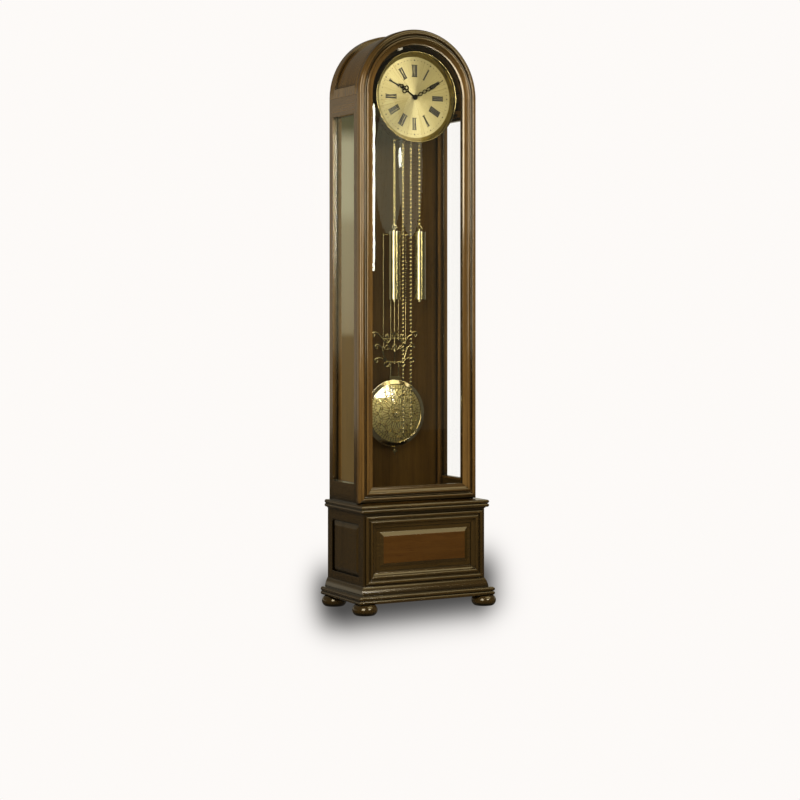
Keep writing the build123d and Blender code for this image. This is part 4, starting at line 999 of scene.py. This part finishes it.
def floor_shade(tree):
    """Soft shadow on the floor, under the base and drawn out behind it."""
    square = 0.0
    for facing, distance, softness in SHADOW_EDGES:
        turn = math.radians(facing)
        outward = (math.cos(turn), math.sin(turn), 0.0)
        reach = add(tree, "ShaderNodeVectorMath", {0: place(tree), 1: outward}, operation="DOT_PRODUCT")
        past = math_node(tree, "SUBTRACT", reach.outputs["Value"], distance)
        beyond = math_node(tree, "MAXIMUM", math_node(tree, "DIVIDE", past, softness), 0.0)
        square = math_node(tree, "MULTIPLY_ADD", beyond, beyond, square)
    fade = math_node(tree, "POWER", math_node(tree, "SQRT", square), shadow_fall)
    dark = math_node(tree, "EXPONENT", math_node(tree, "MULTIPLY", fade, -1.0))
    return math_node(tree, "SUBTRACT", 1.0, math_node(tree, "MULTIPLY", dark, shadow_depth))


floor_mesh = bpy.data.meshes.new("floor")
floor_corners = [(x * floor_reach, y * floor_reach, 0) for x, y in ((-1, -1), (1, -1), (1, 1), (-1, 1))]
floor_mesh.from_pydata(floor_corners, [], [(0, 1, 2, 3)])
floor = bpy.data.objects.new("floor", floor_mesh)
scene.collection.objects.link(floor)
floor_material, tree, surface = bare_material("pale_floor")
lit = add(tree, "ShaderNodeBsdfDiffuse", {"Color": (0.80, 0.78, 0.765, 1.0)})
shown = add(tree, "ShaderNodeEmission", {"Color": BACKGROUND, "Strength": floor_shade(tree)})
plain = mix_shader(tree, seen_directly(tree), lit.outputs["BSDF"], shown.outputs["Emission"])
# Painted reflection: for glossy rays the floor glows dark in front of the clock, and for sharp ones brown
# behind it, so the panes mirror a dark floor in front and a brown one behind
rays_kind = add(tree, "ShaderNodeLightPath").outputs
behind = span(tree, axes(tree)["Y"], 0.0, 0.6, 0.0, 1.0)
rear = math_node(tree, "MULTIPLY", rays_kind["Is Singular Ray"], behind)
floor_tone = mix(tree, rear, (0.063, 0.057, 0.046), (0.42, 0.29, 0.14))
mirrored = add(tree, "ShaderNodeEmission", {"Color": floor_tone, "Strength": 1.0})
either = mix_shader(tree, rays_kind["Is Glossy Ray"], plain, mirrored.outputs["Emission"])
tree.links.new(either, surface)
floor_mesh.materials.append(floor_material)

world = bpy.data.worlds.new("studio")
scene.world = world
world.use_nodes = True
tree = world.node_tree
tree.nodes.clear()
surface = add(tree, "ShaderNodeOutputWorld").inputs["Surface"]
rays_kind = add(tree, "ShaderNodeLightPath").outputs
direction = add(tree, "ShaderNodeTexCoord").outputs["Generated"]
parts = add(tree, "ShaderNodeSeparateXYZ", {"Vector": direction}).outputs
behind = add(tree, "ShaderNodeMapRange", {"Value": parts["Y"], "From Min": -0.1, "From Max": 0.45},
             interpolation_type="SMOOTHSTEP").outputs["Result"]
low = span(tree, parts["Z"], 0.12, 0.21, 1.0, 0.12)
dull = span(tree, math_node(tree, "MULTIPLY", behind, low), 0.0, 1.0, 0.10, 0.50)
dull_tone = scaled(tree, (1.0, 0.93, 0.74), dull)
# The side panes mirror a pale wall above a brown one
wall = ramp(tree, span(tree, parts["Z"], -0.10, 0.12, 0.0, 1.0),
            (0.07, (0.25, 0.17, 0.08)), (0.390, (0.31, 0.225, 0.125)), (0.405, (0.62, 0.52, 0.36)),
            (0.46, (0.66, 0.57, 0.41)), (0.66, (0.71, 0.65, 0.475)), (0.70, (1.0, 0.95, 0.73)),
            (0.86, (1.0, 0.95, 0.73)), (0.90, (0.25, 0.25, 0.16)))
sharp_tone = scaled(tree, mix(tree, behind, (0.175, 0.163, 0.130), wall), 1.6)
room_tone = mix(tree, rays_kind["Is Singular Ray"], dull_tone, sharp_tone)
white = add(tree, "ShaderNodeBackground", {"Color": BACKGROUND, "Strength": 1.0})
room = add(tree, "ShaderNodeBackground", {"Color": room_tone, "Strength": 1.0})
dim = add(tree, "ShaderNodeBackground", {"Color": (1.0, 0.97, 0.90, 1.0), "Strength": 0.20})
unseen = mix_shader(tree, rays_kind["Is Glossy Ray"], dim.outputs["Background"],
                    room.outputs["Background"])
tree.links.new(mix_shader(tree, seen_directly(tree), unseen, white.outputs["Background"]), surface)


def softbox(name, location, target, size, power, colour=(1.0, 0.97, 0.92), shape="RECTANGLE"):
    """Studio lamp aimed at a place."""
    data = bpy.data.lights.new(name, "AREA")
    data.shape = shape
    data.size, data.size_y = size
    data.energy = power
    data.color = colour
    lamp = bpy.data.objects.new(name, data)
    lamp.location = location
    lamp.rotation_euler = (Vector(target) - Vector(location)).to_track_quat("-Z", "Y").to_euler()
    scene.collection.objects.link(lamp)


softbox("key", (-2.3, -2.6, 1.9), (0, 0, 1.2), (1.6, 2.4), 85.0, (1.0, 0.94, 0.82))
softbox("front", (0.95, -3.7, 1.76), (0, 0, 1.2), (1.1, 0.76), 30.0, (1.0, 0.95, 0.85))
softbox("strip", (1.726, -3.7, 1.63), (0, 0, 1.35), (0.030, 0.90), 3.2)
softbox("high", (1.4, -1.7, 3.0), (0, -0.1, 0.4), (2.4, 2.0), 32.0, (1.0, 0.88, 0.55))
# Faint umbrellas and a spark that show only as reflections in the door glass
softbox("umbrella_left", (1.829, -3.7, 1.75), (0, 0, 1.35), (0.15, 0.74), 0.34, (0.95, 1.0, 0.85),
        "ELLIPSE")
softbox("umbrella_right", (1.962, -3.7, 1.75), (0, 0, 1.35), (0.13, 0.76), 0.38, (1.0, 0.93, 0.78),
        "ELLIPSE")
softbox("spark", (1.897, -3.7, 1.80), (0, 0, 1.35), (0.020, 0.11), 0.18, (1.0, 0.98, 0.94),
        "ELLIPSE")
